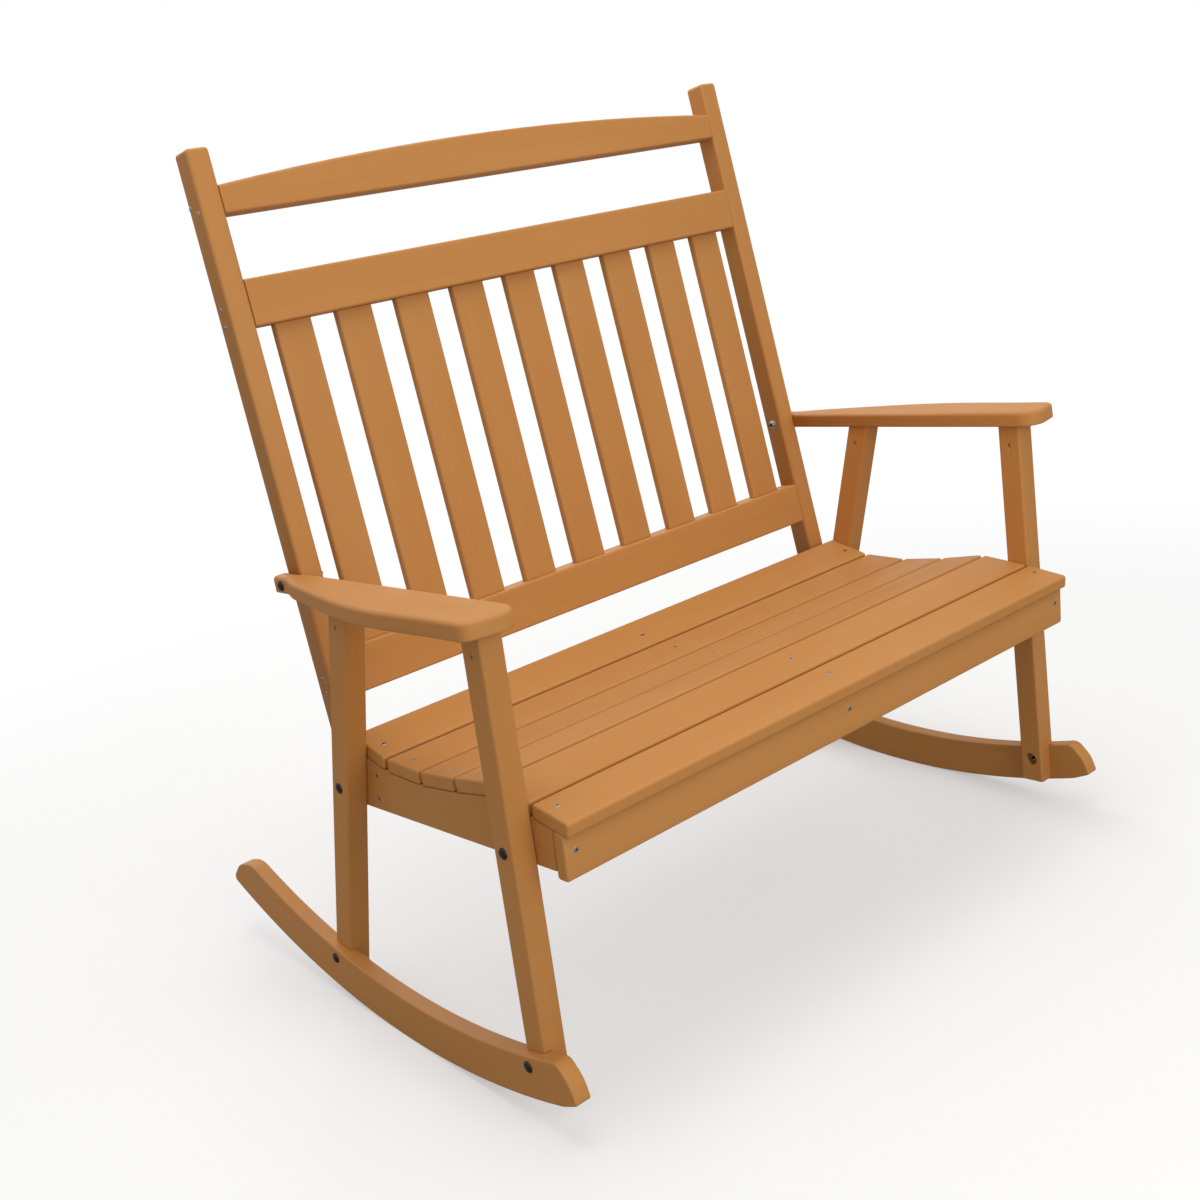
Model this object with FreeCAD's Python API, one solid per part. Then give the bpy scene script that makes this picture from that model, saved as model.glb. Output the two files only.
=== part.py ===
import FreeCAD, Part

import math
import os

# A rocking bench for two, made of solid plastic boards. It is drawn rolled a little forward, with x across
# the bench, y from front to back and z up, and the floor at z = 0 under the centre of the rockers' arc.
# At the end the whole bench is rolled on its rockers to the place where it balances.
# Lengths are in millimetres and angles in degrees.

# Boards across the bench
seat_width = 1038.0          # clear width between the two posts
frame_thickness = 38.0       # posts, side rails, legs, stretcher and centre support
frame_depth = 42.0           # posts, legs and back rails, seen from the side
rocker_thickness = 26.0
leg_notch = 11.5             # how far each leg is cut away to let its rocker in
edge_round = 3.5             # softened long edges of the frame boards

# Rockers
rocker_radius = 1437.5       # of the edge that runs on the floor
rocker_depth = 66.5
rocker_top_shift = -15.0     # the top edge's arc has its centre this far back, so negative is forward
nose_reach = 385.5           # from the arc's centre to the front corner of the running edge
nose_cut = 30.5              # slope of the front end, from upright
nose_round = 20.0
tail_reach = 577.0           # to the upright rear end
tail_start = 495.0           # where the top edge turns down towards the tail
tail_slope = 9.7
tail_turn_round = 50.0
tail_round = 25.0
tip_round = 6.5              # lower corners of both ends
rocker_edge_chamfer = 2.2
rocker_clearance = 0.3       # between a leg's shoulder and the rocker's top edge

# Legs
foot_height = 35.5
front_leg_foot = -277.2      # where the leg's centre line would meet the floor
front_leg_lean = 2.9         # both legs lean forward as they rise
rear_leg_foot = 266.5
rear_leg_lean = 19.4

# Back
back_foot = 95.5             # where the plane of the posts' front faces would meet the floor
back_lean = 7.1
post_length = 1379.0         # from the floor along the lean, to the top of the post
post_top_chamfer = 2.5
post_above_rail = 59.0       # from the ends of the top rail to the top of the post
bottom_rail_at = 512.0       # lower edge of the bottom rail, along the lean
back_rail_width = 74.0       # bottom and middle rails
top_opening = 101.0          # between the middle and top rails
top_rail_end_width = 44.5
top_rail_arch = 24.5         # rise from the ends to the middle
slat_count = 9
slat_width = 65.6
slat_to_post = 36.6          # the outer slats stand this far from the posts
slat_thickness = 17.0
slat_round = 5.0
tenon_length = 14.0
tenon_shoulder = 4.0         # how much the tenon is thinner than the slat, each side
tenon_clearance = 0.3
mortise_margin = 0.6         # left empty past the end of each tenon

# Seat: the slats follow each other from the back to the front
seat_back_y = 126.0          # upper rear corner of the rear slat
seat_back_z = 462.0
seat_slat_widths = [85.5, 84.5, 84.5, 84.5, 84.5, 74.0]
seat_slat_slopes = [14.9, 1.4, -5.8, -8.5, 6.7, 9.3]   # positive falls towards the front
seat_slat_thickness = 22.0
seat_slat_gap = 6.0
seat_slat_least_gap = 1.5    # left between the lower corners where two slats meet in a crest
seat_slat_round = 4.5
seat_slat_inset = 1.0        # the slats end this far inside the side rails' outer faces

# Under the seat
rail_bottom_y = -356.0       # front end of the side rails' lower edge
rail_bottom_z = 362.0
rail_bottom_slope = 1.8      # the lower edge falls towards the back
apron_thickness = 22.0
apron_front_y = -381.0       # a point of the apron's front face
apron_front_z = 391.0
apron_lean = 5.5             # the upper edge stands further forward
apron_bottom_z = 350.0
stretcher_y = 73.0           # a point of its centre line
stretcher_z = 406.0
stretcher_lean = 10.0
stretcher_foot = 62.0        # from there down to the lower edge

# Arms
arm_thickness = 26.0
arm_underside = 691.5        # at y = 0, and the legs' tops are cut to meet it
arm_rise = 0.92              # the arms rise towards the front
arm_edge_chamfer = 3.0
arm_front = 379.0            # from y = 0 to the inner front corner
arm_front_inner_round = 30.0
arm_front_outer_round = 18.0
arm_inner_front = 12.0       # how far the inner edge stands inside the posts' outer faces
arm_inner_back = 5.0
arm_outer_line = [           # y, and how far the outer edge stands outside the posts' outer faces
    (-360.0, 70.0),
    (-270.0, 76.0),
    (-170.0, 82.5),
    (-70.0, 78.0),
    (30.0, 62.5),
    (110.0, 47.0),
    (160.0, 35.5),
]
arm_tab_start = 194.0        # where the outer edge turns parallel to the post
arm_tab_width = 26.0
arm_tab_round = 6.0
arm_tab_past_post = 3.0
arm_post_clearance = 0.3

# Bolts and nuts
bolt_diameter = 6.0
bolt_hole_clearance = 0.3    # on the radius
bolt_head_diameter = 16.6
bolt_head_height = 3.9
bolt_tail = 3.0              # what shows past the nut
nut_flats = 10.0
nut_height = 5.0
washer_diameter = 16.5
washer_thickness = 1.4
counterbore_diameter = 22.0
counterbore_depth = 13.0
rocker_bolt_depth = 15.5     # below the rocker's top edge
leg_bolt_z = 388.0
bolt_sides = 12              # the small round pieces and holes are drawn with flat sides
washer_sides = 16
counterbore_sides = 24

# Screw pockets under the arms
pocket_diameter = 5.2
pocket_sides = 8
pocket_angle = 26.0          # from upright
pocket_below_arm = 38.0      # middle of its mouth, along the leg
pocket_depth = 9.0

bolt_density_ratio = 8.2     # steel against the boards' coloured plastic

Vector = FreeCAD.Vector

# Planes across the bench, for the right-hand side
post_inner = seat_width / 2
post_outer = post_inner + frame_thickness
leg_outer = post_outer + frame_thickness
rocker_inner = leg_outer - leg_notch
rocker_outer = rocker_inner + rocker_thickness

# Places along the back
top_rail_at = post_length - post_above_rail - top_rail_end_width
middle_rail_at = top_rail_at - top_opening - back_rail_width


# Plane geometry in the side view, where a point is (y, z)

def direction(degrees):
    """Unit direction that leans forward by the angle as it rises."""
    angle = math.radians(degrees)
    return (-math.sin(angle), math.cos(angle))


def slope_forward(degrees):
    """Unit direction towards the front that falls by the angle."""
    angle = math.radians(degrees)
    return (-math.cos(angle), -math.sin(angle))


def step(point, along, distance):
    """The point moved by a distance along a direction."""
    return (point[0] + along[0] * distance, point[1] + along[1] * distance)


def meet(point, along, other, across):
    """Where two lines cross, each given by a point and a direction."""
    turn = along[0] * across[1] - along[1] * across[0]
    gap_y = other[0] - point[0]
    gap_z = other[1] - point[1]
    return step(point, along, (gap_y * across[1] - gap_z * across[0]) / turn)


def circle_height(centre_y, radius, y):
    """Height of the lower side of a circle whose centre is as high as the rockers' arc centre."""
    return rocker_radius - math.sqrt(radius ** 2 - (y - centre_y) ** 2)


def meet_circle(point, along, centre_y, radius):
    """Where a line going up through a point first meets such a circle's lower side."""
    gap_y = point[0] - centre_y
    gap_z = point[1] - rocker_radius
    half = along[0] * gap_y + along[1] * gap_z
    rest = gap_y ** 2 + gap_z ** 2 - radius ** 2
    return step(point, along, -half - math.sqrt(half ** 2 - rest))


# Solids

def at(x, point):
    """A side view point put into space."""
    return Vector(x, point[0], point[1])


def side_board(points, x, thickness):
    """Board with straight edges seen from the side, standing outwards from x."""
    corners = [at(x, point) for point in points + points[:1]]
    return Part.Face(Part.makePolygon(corners)).extrude(Vector(thickness, 0, 0))


def edges_along(solid, axis):
    """Straight edges of a solid that run along an axis."""
    found = []
    for edge in solid.Edges:
        chord = edge.Vertexes[-1].Point - edge.Vertexes[0].Point
        straight = edge.Length - chord.Length < 1e-6
        if straight and chord.cross(axis).Length < 1e-6 * chord.Length:
            found.append(edge)
    return found


def edges_at(solid, axis, place):
    """Edges of a solid that lie in the plane across an axis at a place."""
    found = []
    for edge in solid.Edges:
        ends = [edge.valueAt(edge.FirstParameter), edge.valueAt(edge.LastParameter)]
        middle = edge.valueAt((edge.FirstParameter + edge.LastParameter) / 2)
        if all(abs(point.dot(axis) - place) < 1e-4 for point in ends + [middle]):
            found.append(edge)
    return found


across = Vector(1, 0, 0)
back = Vector(0, 1, 0)
up = Vector(0, 0, 1)


def cylinder_across(point, radius, x_from, x_to):
    """Cylinder that runs across the bench between two planes."""
    return Part.makeCylinder(radius, x_to - x_from, at(x_from, point), across)


def ring(point, radius, sides):
    """Corners of a regular outline round a side view point."""
    angles = [2 * math.pi * index / sides for index in range(sides)]
    return [step(point, (math.cos(angle), math.sin(angle)), radius) for angle in angles]


def peg(point, radius, sides, x_from, x_to):
    """Many-sided peg that runs across the bench between two planes."""
    return side_board(ring(point, radius, sides), x_from, x_to - x_from)


def mirrored(solid):
    """The same piece on the other side of the bench."""
    return solid.mirror(Vector(0, 0, 0), across)


def cut_all(solid, cutters):
    """Solid with every cutter taken out of it."""
    return solid.cut(cutters) if cutters else solid


nodes = {}


def pair(name, solid):
    """Store a right-hand piece and its mirror image."""
    nodes[name + "_right"] = solid
    nodes[name + "_left"] = mirrored(solid)


# Rockers

top_radius = rocker_radius - rocker_depth


def rocker_top(y):
    """Point of the rocker's top edge."""
    return (y, circle_height(rocker_top_shift, top_radius, y))


def rocker_bottom(y):
    """Point of the rocker's running edge."""
    return (y, circle_height(0.0, rocker_radius, y))


def rocker_outline():
    """Corners of the rocker in order: nose below, nose above, tail above, tail end, tail below."""
    nose_low = rocker_bottom(-nose_reach)
    nose_high = meet_circle(nose_low, direction(-nose_cut), rocker_top_shift, top_radius)
    tail_high = rocker_top(tail_start)
    tail_low = rocker_bottom(tail_reach)
    tail_end = meet(tail_high, slope_forward(-tail_slope), tail_low, direction(0.0))
    return nose_low, nose_high, tail_high, tail_end, tail_low


def arc_between(curve, start, end):
    """Edge of a rocker's arc between two of its points."""
    middle = curve((start[0] + end[0]) / 2)
    return Part.Arc(at(rocker_inner, start), at(rocker_inner, middle), at(rocker_inner, end)).toShape()


def straight_between(start, end):
    """Straight edge of the rocker's outline."""
    return Part.makeLine(at(rocker_inner, start), at(rocker_inner, end))


def make_rocker():
    """Right-hand rocker: the sawn outline with rounded corners and softened edges, bored for its bolts."""
    nose_low, nose_high, tail_high, tail_end, tail_low = rocker_outline()
    outline = Part.Wire([
        straight_between(nose_low, nose_high),
        arc_between(rocker_top, nose_high, tail_high),
        straight_between(tail_high, tail_end),
        straight_between(tail_end, tail_low),
        arc_between(rocker_bottom, tail_low, nose_low),
    ])
    solid = Part.Face(outline).extrude(Vector(rocker_thickness, 0, 0))
    corner_rounds = [
        (nose_low, tip_round),
        (nose_high, nose_round),
        (tail_high, tail_turn_round),
        (tail_end, tail_round),
        (tail_low, tip_round),
    ]
    for corner, radius in corner_rounds:
        near = [edge for edge in edges_along(solid, across)
                if (edge.Vertexes[0].Point - at(edge.Vertexes[0].X, corner)).Length < 0.01]
        solid = solid.makeFillet(radius, near)
    rims = edges_at(solid, across, rocker_inner) + edges_at(solid, across, rocker_outer)
    solid = solid.makeChamfer(rocker_edge_chamfer, rims)
    return cut_all(solid, [bolt_hole(place, rocker_inner, rocker_outer) for place in rocker_bolts])


# Legs

def leg_centre(foot_y, lean, z):
    """Point of a leg's centre line at a height."""
    return (foot_y - math.tan(math.radians(lean)) * z, z)


def rocker_bolt_at(foot_y, lean):
    """Place of the bolt through rocker and leg, on the leg's centre line."""
    y = leg_centre(foot_y, lean, rocker_top(foot_y)[1] - rocker_bolt_depth)[0]
    return (y, rocker_top(y)[1] - rocker_bolt_depth)


def leg_bolt_at(foot_y, lean):
    """Place of the bolt through leg and side rail."""
    return leg_centre(foot_y, lean, leg_bolt_z)


def bolt_hole(place, x_from, x_to):
    """Cutter for a bolt's hole between two faces."""
    return peg(place, bolt_diameter / 2 + bolt_hole_clearance, bolt_sides, x_from - 1, x_to + 1)


def leg_head(foot_y, lean, shift):
    """Point under the arm on a line that runs beside the leg's centre line, shifted to the rear."""
    start = (foot_y + shift / math.cos(math.radians(lean)), 0.0)
    return meet(start, direction(lean), (0.0, arm_underside), arm_run)


def pocket(foot_y, lean, x, side):
    """Slanted screw pocket that opens in a face of the leg and points up into the arm."""
    angle = math.radians(pocket_angle)
    into = Vector(-side * math.sin(angle), 0, math.cos(angle))
    away = Vector(side * math.cos(angle), 0, math.sin(angle))
    head = leg_head(foot_y, lean, 0.0)
    start = at(x, step(head, direction(lean), -pocket_below_arm)) - into * (2 * pocket_diameter)
    corners = []
    for y, z in ring((0.0, 0.0), pocket_diameter / 2, pocket_sides):
        corners.append(start + back * y + away * z)
    end = Part.Face(Part.makePolygon(corners + corners[:1]))
    return end.extrude(into * (2 * pocket_diameter + pocket_depth))


def make_leg(foot_y, lean):
    """Right-hand leg: rounded, notched over the rocker and bored for its bolts."""
    half = frame_depth / 2
    foot = leg_centre(foot_y, lean, foot_height)
    front_foot = step(foot, (1, 0), -half / math.cos(math.radians(lean)))
    rear_foot = step(foot, (1, 0), half / math.cos(math.radians(lean)))
    rear_head = leg_head(foot_y, lean, half)
    front_head = leg_head(foot_y, lean, -half)
    corners = [front_foot, rear_foot, rear_head, front_head]
    solid = side_board(corners, post_outer, frame_thickness)
    run = Vector(0, *direction(lean))
    solid = solid.makeFillet(edge_round, edges_along(solid, run))

    notch = Part.makeBox(2 * leg_notch, 4 * frame_depth, 3 * rocker_depth,
                         Vector(rocker_inner, foot[0] - 2 * frame_depth, 0))
    shoulder = cylinder_across((rocker_top_shift, rocker_radius), top_radius - rocker_clearance,
                               rocker_inner - leg_notch, leg_outer + 2 * leg_notch)
    rocker_bolt = rocker_bolt_at(foot_y, lean)
    counterbore_end = post_outer + counterbore_depth
    cutters = [
        notch.cut(shoulder),
        bolt_hole(rocker_bolt, post_outer, rocker_inner),
        peg(rocker_bolt, counterbore_diameter / 2, counterbore_sides, post_outer - 1, counterbore_end),
        bolt_hole(leg_bolt_at(foot_y, lean), post_outer, leg_outer),
        pocket(foot_y, lean, leg_outer, 1),
        pocket(foot_y, lean, post_outer, -1),
    ]
    return cut_all(solid, cutters)


# Back: built upright with the posts' front faces at y = 0, then leaned back

def leaned(solid):
    """Back piece turned to the lean of the back and set behind the seat."""
    placed = solid.copy()
    placed.rotate(Vector(0, 0, 0), across, -back_lean)
    placed.translate(Vector(0, back_foot, 0))
    return placed


post_front_run = direction(-back_lean)
arm_run = slope_forward(-arm_rise)
rail_bottom = (rail_bottom_y, rail_bottom_z)
rail_bottom_run = slope_forward(-rail_bottom_slope)
post_foot = meet((back_foot, 0.0), post_front_run, rail_bottom, rail_bottom_run)
post_foot_along = math.hypot(post_foot[0] - back_foot, post_foot[1])


def make_post():
    """Right-hand post with rounded edges and a softened top."""
    solid = Part.makeBox(frame_thickness, frame_depth, post_length - post_foot_along,
                         Vector(post_inner, 0, post_foot_along))
    solid = solid.makeFillet(edge_round, edges_along(solid, up))
    return solid.makeChamfer(post_top_chamfer, edges_at(solid, up, post_length))


def slat_places():
    """Middles of the back slats across the bench, evenly spread between the posts."""
    first = -post_inner + slat_to_post + slat_width / 2
    return [first - 2 * first * index / (slat_count - 1) for index in range(slat_count)]


def tongue(x, low, high, clearance):
    """Tenon of a slat between two places along the back, or with clearance its mortise."""
    width = slat_width - 2 * tenon_shoulder + 2 * clearance
    thickness = slat_thickness - 2 * tenon_shoulder + 2 * clearance
    corner = Vector(x - width / 2, (frame_depth - thickness) / 2, low)
    return Part.makeBox(width, thickness, high - low, corner)


def make_back_slat(x):
    """Upright slat with a tenon at each end."""
    low = bottom_rail_at + back_rail_width
    high = middle_rail_at
    corner = Vector(x - slat_width / 2, (frame_depth - slat_thickness) / 2, low)
    solid = Part.makeBox(slat_width, slat_thickness, high - low, corner)
    solid = solid.makeFillet(slat_round, edges_along(solid, up))
    return solid.fuse(tongue(x, low - tenon_length, high + tenon_length, 0.0)).removeSplitter()


def make_back_rail(lower_edge, mortise_low):
    """Straight rail between the posts with a row of mortises in one edge."""
    solid = Part.makeBox(seat_width, frame_depth, back_rail_width, Vector(-post_inner, 0, lower_edge))
    solid = solid.makeFillet(edge_round, edges_along(solid, across))
    mortise_high = mortise_low + tenon_length + mortise_margin
    return cut_all(solid, [tongue(x, mortise_low, mortise_high, tenon_clearance) for x in slat_places()])


def make_top_rail():
    """Rail between the posts with an arched upper edge."""
    end_height = top_rail_at + top_rail_end_width
    corners = [Vector(-post_inner, 0, end_height), Vector(-post_inner, 0, top_rail_at),
               Vector(post_inner, 0, top_rail_at), Vector(post_inner, 0, end_height)]
    arch = Part.Arc(corners[3], Vector(0, 0, end_height + top_rail_arch), corners[0]).toShape()
    lines = [Part.makeLine(corners[i], corners[i + 1]) for i in range(3)]
    solid = Part.Face(Part.Wire(lines + [arch])).extrude(Vector(0, frame_depth, 0))
    ends = edges_at(solid, across, post_inner) + edges_at(solid, across, -post_inner)
    keep = [end.hashCode() for end in ends]
    rims = [edge for edge in edges_at(solid, back, 0.0) + edges_at(solid, back, frame_depth)
            if edge.hashCode() not in keep]
    return solid.makeFillet(edge_round, rims)


# Seat

def seat_chain():
    """Upper rear corner and slope of each seat slat, from the back to the front.

    Two slats leave the usual gap between their upper corners. Where they meet in a crest the
    lower corners come closer, so the gap is widened until the least gap is left below.
    """
    chain = []
    corner = (seat_back_y, seat_back_z)
    count = len(seat_slat_widths)
    for index in range(count):
        slope = seat_slat_slopes[index]
        chain.append((corner, slope))
        if index + 1 < count:
            following = seat_slat_slopes[index + 1]
            crest = math.sin(math.radians(following)) - math.sin(math.radians(slope))
            gap = max(seat_slat_gap, seat_slat_least_gap + seat_slat_thickness * crest)
            front = step(corner, slope_forward(slope), seat_slat_widths[index])
            corner = step(front, slope_forward((slope + following) / 2), gap)
    return chain


def below(slope):
    """Unit direction square to a slat, from its upper face to its underside."""
    along = slope_forward(slope)
    return (-along[1], along[0])


def underside(index):
    """Rear and front lower corners of a seat slat, and the direction between them."""
    corner, slope = seat_line[index]
    along = slope_forward(slope)
    rear = step(corner, below(slope), seat_slat_thickness)
    return rear, step(rear, along, seat_slat_widths[index]), along


seat_line = seat_chain()
slat_end = post_outer - seat_slat_inset


def make_seat_slat(index):
    """Slat with rounded edges."""
    corner, slope = seat_line[index]
    rear, front, along = underside(index)
    points = [corner, rear, front, step(corner, along, seat_slat_widths[index])]
    solid = side_board(points, -slat_end, 2 * slat_end)
    return solid.makeFillet(seat_slat_round, edges_along(solid, across))


# Under the seat

apron_run = direction(apron_lean)
apron_front = (apron_front_y, apron_front_z)
apron_inward = (apron_run[1], -apron_run[0])
apron_back = step(apron_front, apron_inward, apron_thickness)
stretcher_run = direction(stretcher_lean)
stretcher_inward = (stretcher_run[1], -stretcher_run[0])
stretcher_middle = (stretcher_y, stretcher_z)


def rail_top(rear_point, rear_run):
    """Upper outline of a lengthwise rail, from its rear end to the apron, against the slats."""
    first_rear, first_front, first_along = underside(0)
    points = [meet(rear_point, rear_run, first_rear, first_along), first_front]
    last = len(seat_line) - 1
    for index in range(1, last):
        rear, front, along = underside(index)
        points += [rear, front]
    rear, front, along = underside(last)
    return points + [rear, meet(apron_back, apron_run, rear, along)]


def make_side_rail():
    """Right-hand side rail from the apron to the post, under the ends of the slats."""
    front_low = meet(apron_back, apron_run, rail_bottom, rail_bottom_run)
    points = [front_low, post_foot] + rail_top((back_foot, 0.0), post_front_run)
    solid = side_board(points, post_inner, frame_thickness)
    return cut_all(solid, [bolt_hole(place, post_inner, post_outer) for place in leg_bolts])


def make_centre_support():
    """Support under the middle of the slats, from the apron to the stretcher."""
    face = step(stretcher_middle, stretcher_inward, -frame_thickness / 2)
    front_low = meet(apron_back, apron_run, rail_bottom, rail_bottom_run)
    rear_low = meet(face, stretcher_run, rail_bottom, rail_bottom_run)
    points = [front_low, rear_low] + rail_top(face, stretcher_run)
    return side_board(points, -frame_thickness / 2, frame_thickness)


def make_stretcher():
    """Board between the side rails under the rear slat, its top cut to the slat's slope."""
    rear, front, along = underside(0)
    low = step(stretcher_middle, stretcher_run, -stretcher_foot)
    front_low = step(low, stretcher_inward, -frame_thickness / 2)
    back_low = step(low, stretcher_inward, frame_thickness / 2)
    points = [front_low, back_low, meet(back_low, stretcher_run, rear, along),
              meet(front_low, stretcher_run, rear, along)]
    return side_board(points, -post_inner, seat_width)


def make_apron():
    """Board across the front under the front slat, against the ends of the lengthwise rails."""
    rear, front, along = underside(len(seat_line) - 1)
    level = (1.0, 0.0)
    low = (0.0, apron_bottom_z)
    points = [meet(apron_front, apron_run, low, level), meet(apron_back, apron_run, low, level),
              meet(apron_back, apron_run, rear, along), meet(apron_front, apron_run, rear, along)]
    solid = side_board(points, -post_outer, 2 * post_outer)
    lower_edges = [edge for edge in edges_along(solid, across) if edge.Vertexes[0].Z < apron_bottom_z + 1]
    return solid.makeFillet(edge_round, lower_edges)


# Arms: drawn level with their undersides at z = 0, then turned to their rise and set on the legs

arm_bolt_face = post_outer + arm_tab_width
arm_throat = meet((back_foot, 0.0), post_front_run, (0.0, arm_underside), arm_run)
arm_throat_y = arm_throat[0] / math.cos(math.radians(arm_rise))
arm_tilt_at_post = math.tan(math.radians(back_lean + arm_rise))


def arm_place(y, z):
    """Side view point of a place in the level arm once the arm is set on its legs."""
    along = step((0.0, arm_underside), arm_run, -y)
    return step(along, (-arm_run[1], arm_run[0]), -z)


def arm_bolt_in_arm():
    """Place of the bolt in the level arm, in the middle of the post and of the arm's edge."""
    half = frame_depth / 2 / math.cos(math.radians(back_lean + arm_rise))
    return (arm_throat_y + arm_tilt_at_post * arm_thickness / 2 + half, arm_thickness / 2)


def make_arm():
    """Right-hand arm: a paddle seen from above, with a tab along the outside of the post."""
    tab_end_y = arm_throat_y + arm_tilt_at_post * arm_thickness + frame_depth + arm_tab_past_post
    throat = Vector(post_outer, arm_throat_y - arm_post_clearance, 0)
    throat_inner = Vector(post_outer - arm_inner_back, throat.y, 0)
    front_inner = Vector(post_outer - arm_inner_front, -arm_front, 0)
    outer_points = [Vector(post_outer + out, y, 0) for y, out in arm_outer_line]
    tab_start = Vector(arm_bolt_face, arm_tab_start, 0)
    tab_outer = Vector(arm_bolt_face, tab_end_y, 0)
    tab_inner = Vector(post_outer, tab_end_y, 0)
    outer = Part.BSplineCurve()
    outer.interpolate(outer_points + [tab_start], InitialTangent=back, FinalTangent=back)
    outline = Part.Wire([
        Part.makeLine(tab_inner, throat),
        Part.makeLine(throat, throat_inner),
        Part.makeLine(throat_inner, front_inner),
        Part.makeLine(front_inner, outer_points[0]),
        outer.toShape(),
        Part.makeLine(tab_start, tab_outer),
        Part.makeLine(tab_outer, tab_inner),
    ])
    solid = Part.Face(outline).extrude(Vector(0, 0, arm_thickness))
    corner_rounds = [
        (front_inner, arm_front_inner_round),
        (outer_points[0], arm_front_outer_round),
        (tab_outer, arm_tab_round),
    ]
    for corner, radius in corner_rounds:
        near = [edge for edge in edges_along(solid, up)
                if math.hypot(edge.Vertexes[0].X - corner.x, edge.Vertexes[0].Y - corner.y) < 0.01]
        solid = solid.makeFillet(radius, near)
    solid = solid.makeChamfer(arm_edge_chamfer, edges_at(solid, up, arm_thickness))
    solid = solid.makeChamfer(arm_edge_chamfer, edges_at(solid, up, 0.0))
    solid = solid.cut(bolt_hole(arm_bolt_in_arm(), post_outer, arm_bolt_face))
    solid.rotate(Vector(0, 0, 0), across, -arm_rise)
    solid.translate(Vector(0, 0, arm_underside))
    return solid


# Bolts and nuts

def faceted(place, sections):
    """Many-sided turned piece across the bench, given by its x and radius from one end to the other."""
    loops = []
    for x, radius in sections:
        corners = [at(x, point) for point in ring(place, radius, bolt_sides)]
        loops.append(corners + corners[:1])
    faces = [Part.Face(Part.makePolygon(loop)) for loop in (loops[0], loops[-1])]
    for low, high in zip(loops, loops[1:]):
        for index in range(bolt_sides):
            corners = [low[index], low[index + 1], high[index + 1], high[index], low[index]]
            faces.append(Part.Face(Part.makePolygon(corners)))
    solid = Part.makeSolid(Part.makeShell(faces))
    if solid.Volume < 0:
        solid.reverse()
    return solid.removeSplitter()


def make_bolt(place, x_head, x_nut_face):
    """Round-headed bolt whose head sits on the plane x_head and whose nut bears on x_nut_face."""
    tip = x_nut_face - washer_thickness - nut_height - bolt_tail
    rim = bolt_head_diameter / 2
    return faceted(place, [
        (tip, bolt_diameter / 2),
        (x_head, bolt_diameter / 2),
        (x_head, rim),
        (x_head + 0.3 * bolt_head_height, 0.93 * rim),
        (x_head + 0.8 * bolt_head_height, 0.55 * rim),
        (x_head + bolt_head_height, 0.15 * rim),
    ])


def make_nut(place, x_face):
    """Washer and hexagon nut on the inner side of a board, round the bolt."""
    x_nut = x_face - washer_thickness
    washer = peg(place, washer_diameter / 2, washer_sides, x_nut, x_face)
    nut = peg(place, nut_flats / math.sqrt(3), 6, x_nut - nut_height, x_nut)
    bore_radius = (bolt_diameter + bolt_hole_clearance) / 2
    bore = peg(place, bore_radius, bolt_sides, x_nut - 2 * nut_height, x_face + 1)
    return washer.fuse(nut).cut(bore)


# The pieces of the bench

leg_bolts = [leg_bolt_at(front_leg_foot, front_leg_lean), leg_bolt_at(rear_leg_foot, rear_leg_lean)]
rocker_bolts = [rocker_bolt_at(front_leg_foot, front_leg_lean), rocker_bolt_at(rear_leg_foot, rear_leg_lean)]
arm_bolt = arm_place(*arm_bolt_in_arm())

pair("rocker", make_rocker())
pair("leg_front", make_leg(front_leg_foot, front_leg_lean))
pair("leg_rear", make_leg(rear_leg_foot, rear_leg_lean))

pair("post", leaned(make_post()).cut(bolt_hole(arm_bolt, post_inner, post_outer)))
mortise_foot = bottom_rail_at + back_rail_width - tenon_length - mortise_margin
nodes["back_rail_bottom"] = leaned(make_back_rail(bottom_rail_at, mortise_foot))
nodes["back_rail_middle"] = leaned(make_back_rail(middle_rail_at, middle_rail_at))
nodes["back_rail_top"] = leaned(make_top_rail())
for number, x in enumerate(slat_places(), 1):
    nodes["back_slat_%d" % number] = leaned(make_back_slat(x))

for index in range(len(seat_line)):
    nodes["seat_slat_%d" % (index + 1)] = make_seat_slat(index)
pair("side_rail", make_side_rail())
nodes["centre_support"] = make_centre_support()
nodes["stretcher"] = make_stretcher()
nodes["apron"] = make_apron()
pair("arm", make_arm())

boards = list(nodes)
for name, place in zip(("front", "rear"), rocker_bolts):
    seat_of_nut = post_outer + counterbore_depth
    pair("rocker_bolt_" + name, make_bolt(place, rocker_outer, seat_of_nut))
    pair("rocker_nut_" + name, make_nut(place, seat_of_nut))
for name, place in zip(("front", "rear"), leg_bolts):
    pair("leg_bolt_" + name, make_bolt(place, leg_outer, post_inner))
    pair("leg_nut_" + name, make_nut(place, post_inner))
pair("arm_bolt", make_bolt(arm_bolt, arm_bolt_face, post_inner))
pair("arm_nut", make_nut(arm_bolt, post_inner))

# The bench rolls on its rockers until its centre of mass is straight below their arc's centre.
# Then it is moved so that the origin is on the floor under the middle of its overall size.

mass = 0.0
moment_y = 0.0
moment_z = 0.0
for name, solid in nodes.items():
    weight = solid.Volume * (1.0 if name in boards else bolt_density_ratio)
    centre = solid.CenterOfGravity
    mass += weight
    moment_y += weight * centre.y
    moment_z += weight * centre.z
rest_tilt = math.degrees(math.atan2(moment_y / mass, rocker_radius - moment_z / mass))
for name in nodes:
    nodes[name].rotate(Vector(0, 0, rocker_radius), across, -rest_tilt)
box = FreeCAD.BoundBox()
for solid in nodes.values():
    box.add(solid.optimalBoundingBox(False, False))
shift = -(box.YMin + box.YMax) / 2

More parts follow.
